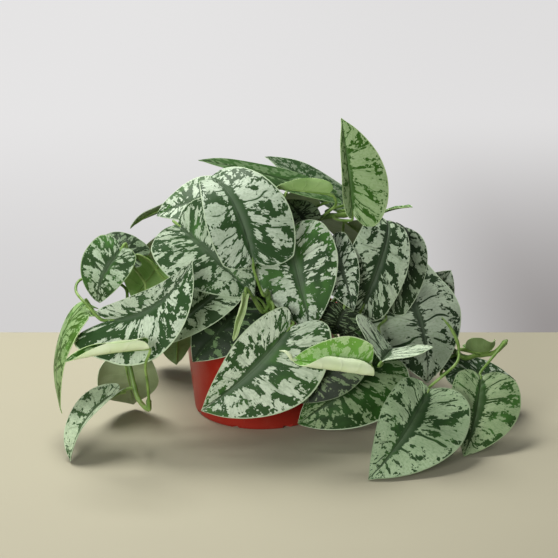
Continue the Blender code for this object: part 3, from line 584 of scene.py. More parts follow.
# Each blade's joint, its tip and where its upper side faces, its stem and how far up that it
# grows, how it bends and rolls, in degrees, and the places that its stalk passes
leafShapes = {
    "crown_front": {
        "joint": (-6, -112, 180), "tip": (-50, -44, 234), "face": (0.3, -0.92, 0.25),
        "stem": ("vine_front", 1.0),
        "bend": {"width": 80, "droop": 110, "late": 2.6, "fold": 12, "left": -14, "right": -18,
                 "skew": -0.14, "lobe": 0.35, "side": 26},
        "via": ((-3, -110, 164),),
    },
    "front_low": {
        "joint": (26, -106, 116), "tip": (-54, -116, 40), "face": (0.1, -0.95, 0.12),
        "stem": ("vine_front", 0.8),
        "bend": {"width": 88, "droop": 14, "side": -16, "fold": 16, "left": -20, "right": -8,
                 "skew": 0.26, "lobe": 1.3},
        "via": ((14, -103, 126),),
    },
    "front_mid": {
        "joint": (25, -66, 195), "tip": (46, -92, 108), "face": (0.0, -0.95, 0.3),
        "stem": ("vine_crown", 0.55),
        "bend": {"width": 80, "droop": 25},
    },
    "left_mid": {
        "joint": (-75, -64, 201), "tip": (-5, -96, 142), "face": (-0.3, -0.65, 0.7),
        "stem": ("vine_left_top", 1.0),
        "bend": {"width": 84, "droop": 30, "fold": 10, "lobe": 0.5},
    },
    "left_reach": {
        "joint": (-135, -98, 121), "tip": (-60, -114, 182), "face": (0.1, -0.75, 0.65),
        "stem": ("vine_left_trail", 0.413),
        "bend": {"width": 64, "droop": -4, "side": 60, "fold": 16, "skew": -0.45, "lobe": 1.9},
        "via": ((-146, -94, 121), (-158, -84, 131), (-169, -70, 139), (-167, -54, 145),
                (-150, -46, 146), (-126, -50, 136)),
    },
    "left_low": {
        "joint": (-26, -84, 152), "tip": (-105, -84, 88), "face": (-0.3, -0.75, 0.5),
        "stem": ("vine_front", 0.6),
        "bend": {"width": 46, "droop": 12},
        "via": ((-16, -84, 150),),
    },
    "pot_left": {
        "joint": (-14, -58, 127), "tip": (-63, -80, 74), "face": (-0.2, -0.85, 0.3),
        "stem": ("vine_front", 0.45),
        "bend": {"width": 66, "droop": 15},
        "via": ((0, -62, 128),),
    },
    "left_back_top": {
        "joint": (-32, -34, 220), "tip": (-97, -30, 200), "face": (-0.35, -0.45, 0.8),
        "stem": ("vine_left_top", 0.6),
        "bend": {"width": 62, "droop": 30},
    },
    "left_high_back": {
        "joint": (-68, 6, 205), "tip": (-125, 2, 179), "face": (-0.5, 0.3, 0.7),
        "stem": ("vine_left_top", 0.9),
        "bend": {"width": 60, "droop": 30},
    },
    "left_roof": {
        "joint": (-118, -46, 165), "tip": (-162, -44, 170), "face": (-0.1, -0.28, 0.95),
        "stem": ("vine_left_trail", 0.253),
        "bend": {"width": 60, "droop": 35, "skew": -0.2, "lobe": 2.0},
        "via": ((-114, -50, 168), (-102, -52, 162), (-92, -52, 148)),
    },
    "left_hang": {
        "joint": (-126, -76, 182), "tip": (-148, -78, 131), "face": (-0.5, -0.85, 0.2),
        "stem": ("vine_left_trail", 0.333),
        "bend": {"width": 54, "droop": 80, "late": 2.4, "skew": -0.15},
        "via": ((-120, -70, 170), (-108, -58, 146)),
    },
    "left_under": {
        "joint": (-97, -29, 150), "tip": (-122, -24, 116), "face": (0.2, 0.95, 0.2),
        "stem": ("vine_left_top", 0.95),
        "bend": {"width": 70, "droop": 15},
        "via": ((-82, -34, 178),),
    },
    "far_left": {
        "joint": (-160, -71, 125), "tip": (-185, -86, 25), "face": (-1.0, -0.25, 0.3),
        "stem": ("vine_left_trail", 0.467),
        "bend": {"width": 60, "droop": 125, "late": 0.3, "fold": 0, "lobe": 1.0, "left": -20,
                 "right": -10},
        "via": ((-160, -72, 132), (-147, -74, 114)),
    },
    "left_rolled": {
        "joint": (-102, -148, 112), "tip": (-171, -154, 102), "face": (0.0, -0.55, 0.85),
        "stem": ("vine_left_trail", 1.0),
        "bend": {"width": 34, "droop": 15, "fold": 35, "left": 120, "right": 120},
        "via": ((-101, -142, 94), (-101, -124, 68)),
    },
    "left_foot": {
        "joint": (-130, -100, 52), "tip": (-171, -142, 2), "face": (-0.75, -0.4, 0.5),
        "stem": ("vine_left_trail", 0.7),
        "bend": {"width": 44, "droop": 60, "fold": 25, "skew": -0.2},
    },
    "left_floor": {
        "joint": (-130, -40, 63), "tip": (-125, -12, 5), "face": (-0.1, 0.9, -0.1),
        "stem": ("vine_left_trail", 0.5),
        "bend": {"width": 66, "droop": -20, "fold": 0, "left": -50, "right": -50},
    },
    "roof_long": {
        "joint": (64, -14, 216), "tip": (-57, -34, 254), "face": (-0.05, -0.12, 1.0),
        "stem": ("vine_crown", 0.8),
        "bend": {"width": 62, "droop": 10},
    },
    "roof_back": {
        "joint": (81, 28, 196), "tip": (3, 34, 241), "face": (0.1, -0.2, 0.95),
        "stem": ("vine_crown", 0.85),
        "bend": {"width": 60, "droop": 14},
        "via": ((84, 10, 200),),
    },
    "roof_rolled": {
        "joint": (61, -62, 230), "tip": (11, -64, 235), "face": (0.0, 0.2, 1.0),
        "stem": ("vine_crown", 0.77),
        "bend": {"width": 26, "droop": 5, "fold": 45, "left": 75, "right": 75},
        "via": ((68, -54, 216),),
    },
    "upright": {
        "joint": (85, -30, 202), "tip": (74, -16, 289), "face": (0.55, -0.8, 0.1),
        "stem": ("vine_crown", 0.9),
        "bend": {"width": 52, "droop": -12, "side": 14, "fold": 22, "left": -10, "right": -10,
                 "skew": -0.5, "lobe": 0.8},
    },
    "right_spike": {
        "joint": (115, 14, 192), "tip": (143, 2, 200), "face": (0.0, 0.08, 1.0),
        "stem": ("vine_crown", 1.0),
        "bend": {"width": 26, "droop": 18},
        "via": ((98, 2, 196),),
    },
    "right_big": {
        "joint": (94, -54, 117), "tip": (111, 20, 173), "face": (0.2, -0.95, 0.3),
        "stem": ("vine_right_trail", 0.165),
        "bend": {"width": 60, "droop": 150, "late": 1.9, "fold": 8, "skew": 0.08, "left": -15,
                 "right": -22, "lobe": 0.5},
        "via": ((84, -44, 104), (80, -24, 106)),
    },
    "right_big_back": {
        "joint": (116, -34, 114), "tip": (131, 38, 168), "face": (0.4, -0.9, 0.35),
        "stem": ("vine_right_front", 0.8),
        "bend": {"width": 54, "droop": 120, "late": 2.0, "lobe": 0.3},
        "via": ((118, -34, 101), (110, -48, 97)),
    },
    "right_narrow": {
        "joint": (65, -48, 184), "tip": (85, -84, 125), "face": (0.3, -0.9, 0.3),
        "stem": ("vine_crown", 0.75),
        "bend": {"width": 50, "droop": 20, "skew": -0.3},
    },
    "right_wide": {
        "joint": (136, 14, 127), "tip": (157, -52, 42), "face": (0.35, -0.85, 0.4),
        "stem": ("vine_right_trail", 0.375),
        "bend": {"width": 118, "droop": 60, "fold": 0, "left": -25, "right": -25, "lobe": 2.4,
                 "skew": -0.08, "late": 2.0},
    },
    "right_behind": {
        "joint": (161, 40, 89), "tip": (187, 50, 122), "face": (0.5, -0.6, 0.6),
        "stem": ("vine_right_trail", 0.45),
        "bend": {"width": 44, "droop": 20},
    },
    "behind_mid": {
        "joint": (76, -76, 125), "tip": (66, -80, 101), "face": (0.1, -0.9, 0.3),
        "stem": ("vine_right_front", 0.3),
        "bend": {"width": 42, "droop": 15},
        "via": ((80, -74, 118),),
    },
    "behind_low": {
        "joint": (89, -73, 106), "tip": (74, -82, 93), "face": (0.1, -0.8, 0.5),
        "stem": ("vine_right_front", 0.55),
        "bend": {"width": 32, "droop": 15},
    },
    "centre_rolled": {
        "joint": (96, -133, 86), "tip": (28, -146, 101), "face": (0, -0.85, 0.5),
        "stem": ("vine_right_front", 1.0),
        "bend": {"width": 62, "droop": 8, "fold": 5, "left": 290, "right": 25, "skew": 0.1,
                 "lobe": 0.35, "shoulder": 0.9},
        "via": ((100, -112, 82),),
    },
    "centre_boat": {
        "joint": (108, -126, 92), "tip": (121, -84, 89), "face": (0.34, 0.0, 0.95),
        "stem": ("vine_right_front", 0.8),
        "bend": {"width": 92, "droop": 8, "fold": 36, "left": 0, "right": 0, "lobe": 0.3, "side": 0,
                 "skew": 0},
        "via": ((110, -106, 84),),
    },
    "low_right": {
        "joint": (115, -63, 75), "tip": (34, -84, 14), "face": (0.15, -0.9, 0.3),
        "stem": ("vine_right_front", 0.5),
        "bend": {"width": 78, "droop": 50, "skew": 0.18, "late": 2.2},
        "via": ((102, -56, 82),),
    },
    "low_shadow": {
        "joint": (83, -98, 86), "tip": (19, -98, 42), "face": (0.0, -0.85, 0.45),
        "stem": ("vine_right_front", 0.42),
        "bend": {"width": 52, "droop": 12},
        "via": ((80, -92, 90), (70, -80, 98)),
    },
    "floor_right": {
        "joint": (153, -106, 57), "tip": (95, -180, 1.5), "face": (0.1, -0.62, 0.75),
        "stem": ("vine_right_trail", 0.64),
        "bend": {"width": 80, "droop": 12, "side": -20, "fold": 8, "left": -14, "right": -14,
                 "skew": 0.22, "lobe": 0.5},
        "via": ((178, -92, 76), (184, -66, 79)),
    },
    "floor_far_right": {
        "joint": (204, -76, 58), "tip": (184, -130, 1.5), "face": (0.15, -0.65, 0.7),
        "stem": ("vine_right_trail", 1.0),
        "bend": {"width": 68, "droop": 15, "side": -14, "skew": 0.2},
        "via": ((216, -62, 72),),
    },
    "shadow_right": {
        "joint": (177, -34, 47), "tip": (246, -14, 30), "face": (0.1, -0.25, 0.95),
        "stem": ("vine_right_trail", 0.6),
        "bend": {"width": 60, "droop": 20},
    },
    "right_rolled": {
        "joint": (193, -44, 74), "tip": (221, -32, 79), "face": (-0.1, 0.6, 0.8),
        "stem": ("vine_right_trail", 0.78),
        "bend": {"width": 30, "droop": -110, "fold": 25, "left": 40, "right": 40, "late": 2.0},
    },
    "inner": {
        "joint": (13, -50, 161), "tip": (0, -54, 120), "face": (0.0, -0.9, 0.3),
        "stem": ("vine_crown", 0.22),
        "bend": {"width": 44, "droop": 10},
    },
    "top_behind": {
        "joint": (44, -50, 196), "tip": (24, -40, 218), "face": (0.0, -0.6, 0.7),
        "stem": ("vine_crown", 0.55),
        "bend": {"width": 36, "droop": 20},
    },
    "pale_sheath": {
        "joint": (-13, -116, 150), "tip": (-24, -118, 108), "face": (0.0, -1.0, 0.0),
        "stem": ("vine_front", 0.7),
        "bend": {"width": 18, "droop": 8, "fold": 35, "left": 80, "right": 80},
    },
    "pot_side": {
        "joint": (-78, -54, 92), "tip": (-80, -50, 60), "face": (-0.5, 0.85, 0.1),
        "stem": ("vine_left_trail", 0.16),
        "bend": {"width": 34, "droop": 10},
    },
    "back_high": {
        "joint": (22, 62, 196), "tip": (6, 116, 128), "face": (-0.1, 0.7, 0.75),
        "stem": ("vine_back", 0.5),
        "bend": {"width": 84, "droop": 30},
    },
    "back_top": {
        "joint": (-14, 30, 206), "tip": (-76, 48, 168), "face": (-0.4, 0.2, 0.9),
        "stem": ("vine_back", 0.35),
        "bend": {"width": 76, "droop": 30},
        "via": ((-4, 36, 186),),
    },
    "back_left": {
        "joint": (-62, 50, 168), "tip": (-122, 88, 92), "face": (-0.5, 0.6, 0.6),
        "stem": ("vine_back_left", 0.5),
        "bend": {"width": 82, "droop": 28},
    },
    "back_right": {
        "joint": (84, 44, 172), "tip": (136, 92, 96), "face": (0.4, 0.6, 0.6),
        "stem": ("vine_back_right", 0.5),
        "bend": {"width": 84, "droop": 28},
    },
    "back_mid": {
        "joint": (-10, 92, 146), "tip": (-28, 132, 58), "face": (-0.2, 0.9, 0.4),
        "stem": ("vine_back", 0.75),
        "bend": {"width": 88, "droop": 26},
    },
    "back_low_left": {
        "joint": (-84, 72, 100), "tip": (-112, 104, 24), "face": (-0.5, 0.75, 0.4),
        "stem": ("vine_back_left", 1.0),
        "bend": {"width": 70, "droop": 20},
    },
    "back_low_right": {
        "joint": (102, 88, 92), "tip": (120, 124, 14), "face": (0.4, 0.85, 0.4),
        "stem": ("vine_back_right", 1.0),
        "bend": {"width": 76, "droop": 22},
    },
    "back_floor": {
        "joint": (12, 126, 72), "tip": (42, 174, 6), "face": (0.2, 0.7, 0.7),
        "stem": ("vine_back", 1.0),
        "bend": {"width": 70, "droop": 18},
    },
}

# What each leaf shows: its share of silver, how streaked that is, the width of its green midrib
# band, how bright its green is and how strong its vein lines are; quilt and wave in millimetres.
# Some leaves' colours are darker or paler than the leaf's own, as painted shade or painted light, noted at
# each leaf
leafLooks = {
    "crown_front": {
        "silver": 0.58, "streak": 0.1, "band": 0.2, "bright": 0.2, "lines": 0.5, "shift": 5.0,
        "colours": {"silver": (198, 213, 191), "edge": (184, 204, 170)},
    },
    # front_low and front_mid: paler silver, painted light on the front leaves
    "front_low": {
        "silver": 0.62, "streak": 0.2, "band": 0.2, "bright": 0.4,
        "colours": {"silver": (220, 234, 212), "darkGreen": (52, 84, 44)},
    },
    "front_mid": {
        "silver": 0.52, "streak": 0.35, "band": 0.22, "bright": 0.5, "shift": 3.0,
        "colours": {"silver": (214, 228, 206)},
    },
    "left_mid": {
        "silver": 0.53, "streak": 0.6, "band": 0.1, "bright": 0.35,
        "colours": {"silver": (190, 206, 180), "edge": (178, 198, 164)},
    },
    "left_reach": {"silver": 0.56, "streak": 0.3, "band": 0.15, "bright": 0.3},
    "left_low": {
        "silver": 0.6, "streak": 0.4, "band": 0.2, "bright": 0.2,
        "colours": {"silver": (180, 198, 168), "darkGreen": (38, 64, 28)},
    },
    # pot_left: dark colours, painted shade on the leaf at the pot's side
    "pot_left": {
        "silver": 0.1, "streak": 0.6, "band": 0.1, "bright": 0.1,
        "colours": {"darkGreen": (28, 48, 20), "silver": (110, 136, 94)},
    },
    "left_back_top": {"silver": 0.42, "streak": 0.9, "bright": 0.4},
    "left_high_back": {"silver": 0.15, "bright": 0.6, "under": ((86, 124, 48), (120, 156, 78))},
    # left_roof: darker colours, painted shade against the light on its top
    "left_roof": {
        "silver": 0.56, "streak": 0.6, "bright": 0.3,
        "colours": {"silver": (128, 146, 118), "darkGreen": (30, 52, 22), "edge": (134, 154, 118)},
    },
    "left_hang": {
        "silver": 0.46, "streak": 0.5, "bright": 0.4,
        "colours": {"silver": (176, 194, 166), "darkGreen": (42, 70, 32), "edge": (150, 176, 126)},
    },
    # left_under: a brighter green underside, painted light shining through the leaf
    "left_under": {"silver": 0.4, "under": ((128, 174, 88), (168, 206, 132))},
    "far_left": {
        "silver": 0.66, "streak": 0.2, "band": 0.1, "bright": 0.4, "young": True,
        "colours": {"silver": (150, 178, 122), "darkGreen": (66, 100, 30)},
    },
    "left_rolled": {"silver": 0.2, "young": True, "bright": 0.3},
    "left_foot": {
        "silver": 0.82, "streak": 0.3, "bright": 0.3,
        "colours": {"silver": (206, 222, 190), "darkGreen": (64, 92, 52)},
    },
    "left_floor": {"silver": 0.5, "under": ((138, 154, 112), (168, 184, 144))},
    # roof_long: darker colours, painted shade against the light on its top
    "roof_long": {
        "silver": 0.4, "streak": 0.9, "band": 0.12, "bright": 0.6,
        "colours": {
            "silver": (104, 130, 88), "darkGreen": (28, 50, 16), "brightGreen": (48, 86, 30),
            "edge": (120, 150, 98),
        },
    },
    "roof_back": {"silver": 0.55, "streak": 0.4, "bright": 0.2, "colours": {"silver": (132, 146, 124)}},
    "roof_rolled": {"silver": 0.4, "young": True, "under": ((128, 164, 92), (160, 190, 124))},
    "upright": {"silver": 0.78, "streak": 0.5, "band": 0.12, "bright": 0.3, "lines": 0.6, "young": True},
    "right_spike": {"silver": 0.2, "young": True, "bright": 0.1},
    # right_big, right_big_back, right_narrow and right_wide: darker greens, painted shade on the plant's
    # right side
    "right_big": {
        "silver": 0.54, "streak": 0.45, "band": 0.2, "bright": 0.15,
        "colours": {"darkGreen": (38, 62, 32), "silver": (196, 212, 186)},
    },
    "right_big_back": {
        "silver": 0.4, "streak": 0.6, "bright": 0.1,
        "colours": {"darkGreen": (38, 60, 30), "silver": (170, 186, 160)},
    },
    "right_narrow": {"silver": 0.42, "streak": 0.9, "bright": 0.2, "colours": {"darkGreen": (38, 62, 32)}},
    "right_wide": {
        "silver": 0.86, "streak": 0.2, "band": 0.11, "bright": 0.2, "lines": 0.8, "quilt": 1.1,
        "wave": 1.0,
        "colours": {"silver": (192, 206, 182), "darkGreen": (40, 62, 34)},
    },
    "right_behind": {"silver": 0.8, "bright": 0.2},
    # behind_mid and behind_low: dark colours, painted shade inside the plant
    "behind_mid": {
        "silver": 0.3, "streak": 0.9, "bright": 0.2,
        "colours": {"silver": (120, 136, 106), "darkGreen": (26, 40, 18), "edge": (110, 130, 92)},
    },
    "behind_low": {
        "silver": 0.3, "bright": 0.3,
        "colours": {"silver": (120, 136, 106), "darkGreen": (26, 40, 18), "edge": (110, 130, 92)},
    },
    "centre_rolled": {
        "silver": 0.45, "streak": 0.2, "young": True, "bright": 0.7,
        "colours": {
            "darkGreen": (84, 134, 44), "brightGreen": (122, 178, 74), "silver": (192, 222, 160),
            "edge": (206, 230, 176),
        },
    },
    # centre_boat: paler silver, painted light
    "centre_boat": {"silver": 0.76, "streak": 0.6, "bright": 0.3, "colours": {"silver": (226, 242, 214)}},
    # low_right and low_shadow: dark colours, painted shade low in the plant
    "low_right": {
        "silver": 0.44, "streak": 0.5, "bright": 0.6,
        "colours": {"darkGreen": (30, 56, 18), "brightGreen": (44, 84, 28), "silver": (146, 170, 126)},
    },
    "low_shadow": {
        "silver": 0.4, "streak": 0.6, "bright": 0.2,
        "colours": {"silver": (120, 136, 104), "darkGreen": (24, 40, 16), "edge": (104, 122, 88)},
    },
    # floor_right and floor_far_right: darker silver, painted shade on the plant's right side
    "floor_right": {
        "silver": 0.86, "streak": 0.35, "band": 0.2, "bright": 0.35, "lines": 0.85, "quilt": 0.9,
        "wave": 1.0,
        "colours": {"darkGreen": (42, 70, 34), "silver": (170, 192, 154), "edge": (150, 172, 134)},
    },
    "floor_far_right": {
        "silver": 0.78, "streak": 0.3, "band": 0.2, "bright": 0.4, "lines": 0.8, "quilt": 0.7,
        "colours": {"darkGreen": (44, 74, 30), "silver": (158, 178, 136), "edge": (146, 168, 124)},
    },
    "shadow_right": {"silver": 0.2, "streak": 0.8, "bright": 0.2},
    "right_rolled": {
        "silver": 0.3, "young": True,
        "under": ((112, 138, 82), (138, 162, 108)),
        "colours": {"darkGreen": (84, 116, 56)},
    },
    # inner and top_behind: dark colours, painted shade inside the plant
    "inner": {
        "silver": 0.35, "bright": 0.1,
        "colours": {"darkGreen": (24, 40, 16), "silver": (90, 106, 76)},
    },
    "top_behind": {
        "silver": 0.6, "streak": 0.6, "bright": 0.2,
        "colours": {"silver": (110, 124, 98), "darkGreen": (28, 42, 20), "edge": (100, 120, 84)},
    },
    "pale_sheath": {
        "silver": 0.1, "young": True,
        "under": ((190, 208, 156), (214, 228, 182)),
        "colours": {"darkGreen": (180, 200, 146), "brightGreen": (212, 226, 180)},
    },
    "pot_side": {"silver": 0.3},
    "back_high": {"silver": 0.58, "bright": 0.4},
    "back_top": {"silver": 0.5, "streak": 0.6, "bright": 0.3},
    "back_left": {"silver": 0.55, "bright": 0.5},
    "back_right": {"silver": 0.64, "streak": 0.3, "bright": 0.3},
    "back_mid": {"silver": 0.52, "streak": 0.3, "bright": 0.5},
    "back_low_left": {"silver": 0.45, "bright": 0.2},
    "back_low_right": {"silver": 0.6, "bright": 0.4},
    "back_floor": {"silver": 0.75, "lines": 0.7, "bright": 0.4},
}


def marginPoint(part):
    last = len(bladeMargin) - 1
    place = min(max(part, 0.0) * last, last - 1e-9)
    index = int(place)
    rest = place - index
    near = [bladeMargin[min(max(index + shift, 0), last)] for shift in (-1, 0, 1, 2)]
    before, start, end, after = (Vector(value) for value in near)
    return 0.5 * (
        2 * start + (end - before) * rest
        + (2 * before - 5 * start + 4 * end - after) * rest ** 2
        + (3 * start - before - 3 * end + after) * rest ** 3
    )


class Blade:
    # A blade bent along its midrib and across it, fitted between its joint and its tip
    stations = 28
    faceStation = 10
    rollSteps = 32

    def __init__(self, joint, tip, face, bend, look, seed):
        self.bend = {**plainBlade, **bend}
        self.look = look
        self.seed = seed
        self.makeMidrib(Vector(joint), Vector(tip), Vector(face))
        self.rolls = {1: self.makeRoll("left"), -1: self.makeRoll("right")}  # by side

    def makeMidrib(self, joint, tip, face):
        bend = self.bend
        turn = Matrix.Identity(3)
        place = Vector((0.0, 0.0, 0.0))
        places = [place.copy()]
        turns = [turn.copy()]
        for index in range(self.stations):
            start = index / self.stations
            end = (index + 1) / self.stations
            lateShare = end ** bend["late"] - start ** bend["late"]
            turn = Matrix.Rotation(math.radians(bend["droop"]) * lateShare, 3, turn.col[1]) @ turn
            turn = Matrix.Rotation(math.radians(bend["side"]) * (end - start), 3, turn.col[2]) @ turn
            place = place + turn.col[0] * (end - start)
            places.append(place.copy())
            turns.append(turn.copy())
        span = tip - joint
        self.length = span.length / place.length
        local = self.axes(place, turns[self.faceStation].col[2])
        fit = self.axes(span, face) @ local.transposed()
        self.places = [joint + fit @ place * self.length for place in places]
        self.turns = [fit @ turn for turn in turns]

    def axes(self, forward, up):
        forward = forward.normalized()
        up = (up - forward * up.dot(forward)).normalized()
        return Matrix((forward, up, forward.cross(up))).transposed()

    def makeRoll(self, half):
        # Distance out, height and slope of one half's cross-section, from the midrib to its margin
        bend = self.bend
        step = bend["width"] / 2 / self.rollSteps
        section = [(0.0, 0.0, math.radians(bend["fold"]))]
        for index in range(self.rollSteps * 3 // 2):
            angle = math.radians(bend["fold"] + bend[half] * (index + 0.5) / self.rollSteps)
            out, height, _ = section[-1]
            section.append((out + step * math.cos(angle), height + step * math.sin(angle), angle))
        return section

    def frame(self, part):
        inside = min(max(part, 0.0), 1.0)
        index = min(int(inside * self.stations), self.stations - 1)
        rest = inside * self.stations - index
        place = self.places[index].lerp(self.places[index + 1], rest)
        turn = self.turns[index] * (1 - rest) + self.turns[index + 1] * rest
        return place + turn.col[0] * ((part - inside) * self.length), turn

    def point(self, row, out, side):
        # row runs from the joint to the tip, out from the midrib to the margin along a vein
        along, across = marginPoint(row)
        if along < 0:
            along *= self.bend["lobe"] * (1 + side * self.bend["skew"])
        if side > 0:
            across *= 1 - self.bend["shoulder"] * (1 - row) ** 2
        middle = row ** bladeLook["rowSpread"]
        veinBow = bladeLook["veinBow"] * out * (1 - out) * math.sin(math.pi * row)
        part = middle + (along - middle) * out - veinBow
        reach = across * out * 2 * (1 + side * self.bend["skew"]) * self.rollSteps
        place, turn = self.frame(part)
        section = self.rolls[side]
        index = min(int(reach), len(section) - 2)
        rest = reach - index
        near, far = section[index], section[index + 1]
        x, z, slope = (near[i] + (far[i] - near[i]) * rest for i in range(3))
        flat = place + turn.col[1] * (side * x) + turn.col[2] * z
        lift = self.relief(row, out, side, reach * self.bend["width"] / 2 / self.rollSteps)
        return flat + (turn.col[2] * math.cos(slope) - turn.col[1] * (side * math.sin(slope))) * lift

    def relief(self, row, out, side, reach):
        # Groove at the midrib, quilting between the side veins, a waved margin and slight dents
        look = self.look
        groove = -bladeLook["groove"] * math.exp(-(reach / bladeLook["grooveWidth"]) ** 2)
        between = math.sin(math.pi * row * bladeLook["veinCount"]) ** 2
        quilt = look["quilt"] * (between - 0.5) * math.sin(math.pi * min(out, 0.97))
        quilt *= math.sin(math.pi * row) ** 0.5
        phase = math.tau * row / bladeLook["waveLength"] + self.seed * 2.4 + side
        wave = look["wave"] * out ** 3 * math.sin(phase)
        dent = noise.noise(Vector((row * 3.1, out * side * 1.6, self.seed * 5.3)))
        height = groove + quilt + wave * math.sin(math.pi * row) + bladeLook["dents"] * out * dent
        return height * min(1.0, reach / 3 + 0.6)


def bladeMesh(name, blade):
    columns = bladeLook["columns"]
    shape = bmesh.new()
    bmesh.ops.create_grid(shape, x_segments=2 * columns, y_segments=bladeLook["rows"], size=1.0)
    veinMap = shape.loops.layers.uv.new("veinMap")
    for vert in shape.verts:
        vert.co.x = math.copysign(abs(vert.co.x) ** bladeLook["columnSpread"], vert.co.x)
    for face in shape.faces:
        face.smooth = True
        for loop in face.loops:
            loop[veinMap].uv = ((loop.vert.co.x + 1) / 2, (loop.vert.co.y + 1) / 2)
    for vert in shape.verts:
        side = -1 if vert.co.x > 0 else 1
        vert.co = blade.point((vert.co.y + 1) / 2, abs(vert.co.x), side) * mm
    bmesh.ops.remove_doubles(shape, verts=shape.verts, dist=mergeDistance)
    holder = newObject(name, meshOf(shape, name))
    solidify = holder.modifiers.new("Thickness", "SOLIDIFY")
    solidify.thickness = bladeLook["thickness"] * mm
    solidify.offset = 0.0
    solidify.material_offset = 1
    for _ in range(3):  # without slots the thickening would drop the underside's index
        holder.data.materials.append(leafUnder)
    return finishedMesh(holder)


def stalkMesh(name, blade, shape):
    # From the stem's middle, past the leaf's own points, up to the joint and on as the rib below
    look = stalkLook
    stemName, part = shape["stem"]
    joint, turn = blade.frame(0.0)
    points = [joint - turn.col[2] * look["belowJoint"],
              joint - turn.col[0] * look["approach"] - turn.col[2] * look["approachBelow"]]
    points += [Vector(value) for value in shape.get("via", ())]
    place, direction = stemPlace(vineLines[stemName], part)
    toward = points[-1] - place
    toward = (toward - direction * toward.dot(direction)).normalized()
    points += [place + toward * (vineLook["radius"] + look["clearOfStem"]),
               place + toward * look["inStem"]]
    stalk = smoothLine(points, look["steps"])[::-1]
    radii = []
    for index in range(len(stalk)):
        part = index / (len(stalk) - 1)
        flare = look["flare"] * (1 - part) ** 6
        knee = look["knee"] * math.exp(-((part - look["kneePlace"]) / look["kneeWidth"]) ** 2)
        radii.append(look["radius"] * (1 + flare + knee))
    rib = []
    for index in range(1, bladeLook["ribSteps"] + 1):
        part = index / bladeLook["ribSteps"] * bladeLook["ribReach"]
        middle, turn = blade.frame(part)
        radius = bladeLook["ribStart"] + (bladeLook["ribEnd"] - bladeLook["ribStart"]) * part ** 0.6
        rib.append(middle - turn.col[2] * (bladeLook["groove"] * 0.9 + radius * 0.55))
        radii.append(radius)
    return tubeMesh(name, stalk + rib, radii, 2)


# Free tips that leave a leaf: a dried curl at a rolled blade's end and the end of a stalk's sheath.
# Material 1 is the leaf's underside and 2 its stalk
tipLooks = {
    "centre_rolled": {
        "material": 1, "radii": (0.8, 1.6, 2.1, 1.2, 0.2),
        "points": ((32, -146, 100), (28, -147, 102), (26, -148.5, 106), (22, -148.5, 109.5),
                   (17, -147, 109.5)),
    },
    "floor_right": {
        "material": 2, "radii": (1.2, 1.7, 1.6, 1.0, 0.2),
        "points": ((184, -66, 79), (182, -68, 89), (177, -67, 100), (171, -66, 108),
                   (166.5, -65, 113)),
    },
}


def tipMesh(name, look):
    line = smoothLine([Vector(point) for point in look["points"]], stalkLook["tipSteps"])
    radii = []
    for index in range(len(line)):
        place = index / (len(line) - 1) * (len(look["radii"]) - 1)
        start = min(int(place), len(look["radii"]) - 2)
        near, far = look["radii"][start:start + 2]
        radii.append(near + (far - near) * (place - start))
    return tubeMesh(name, line, radii, look["material"])


def makeLeaf(name, shape, seed):
    look = {**plainLook, **leafLooks[name]}
    blade = Blade(shape["joint"], shape["tip"], shape["face"], shape["bend"], look, seed)
    meshes = [bladeMesh(name, blade), stalkMesh(name + "_stalk", blade, shape)]
    if name in tipLooks:
        meshes.append(tipMesh(name + "_tip", tipLooks[name]))
    mesh = joinMeshes(name, meshes)
    upper = makeUpperMaterial(name + "_upper", look, seed + look["shift"])
    under = youngUnder if look["young"] else leafUnder
    if look["under"]:
        under = makeUnderMaterial(name + "_under", *(srgb(*colour) for colour in look["under"]))
    keepPiece(name + "_detail", mesh, [upper, under, stalkSkin], ["leaf_" + name])


seeds = random.Random(11)
joints = {name: [Vector((0, 0, -100))] for name in vineRoutes}  # a far place swells no stem
for name, shape in leafShapes.items():
    makeLeaf(name, shape, round(seeds.uniform(0, 90), 2))
    stemName, part = shape["stem"]
    joints[stemName].append(stemPlace(vineLines[stemName], part)[0])
for name, points in vineRoutes.items():
    makeVine(name, points, joints[name])
print("leaves and stems made:", len(leafShapes), "and", len(vineRoutes))


# Pot: a turned wall with a stepped lip, drain holes and notches in its foot

potLook = {
    "lipRadius": 77.0, "baseRadius": 65.0, "height": 98.0, "lipHeight": 17.0, "lipStep": 3.0,
    "wall": 1.8, "floor": 5.0, "sides": 144, "drains": 8, "drainRadius": 4.0, "drainCircle": 44.0,
    "drainSides": 32, "notchHeight": 3.0, "notchWidth": 12.0, "notchDepth": 5.0,
}


def turnedMesh(name, profile, sides):  # profile points are (radius, height) in millimetres
    shape = bmesh.new()
    verts = [shape.verts.new((radius * mm, 0.0, height * mm)) for radius, height in profile]
    edges = [shape.edges.new(pair) for pair in zip(verts, verts[1:])]
    bmesh.ops.spin(shape, geom=verts + edges, cent=(0, 0, 0), axis=(0, 0, 1), angle=math.tau,
                   steps=sides, use_merge=True)
    bmesh.ops.remove_doubles(shape, verts=shape.verts, dist=mergeDistance)
    bmesh.ops.recalc_face_normals(shape, faces=shape.faces)
    for face in shape.faces:
        face.smooth = True
    return meshOf(shape, name)


def cutter(name, radius, bottom, top, place, sides, turn):
    shape = bmesh.new()
    centre = Matrix.Translation((place[0] * mm, place[1] * mm, (bottom + top) / 2 * mm))
    centre = centre @ Matrix.Rotation(turn, 4, "Z")
    bmesh.ops.create_cone(shape, cap_ends=True, segments=sides, radius1=radius * mm, radius2=radius * mm,
                          depth=(top - bottom) * mm, matrix=centre)
    return newObject(name, meshOf(shape, name))


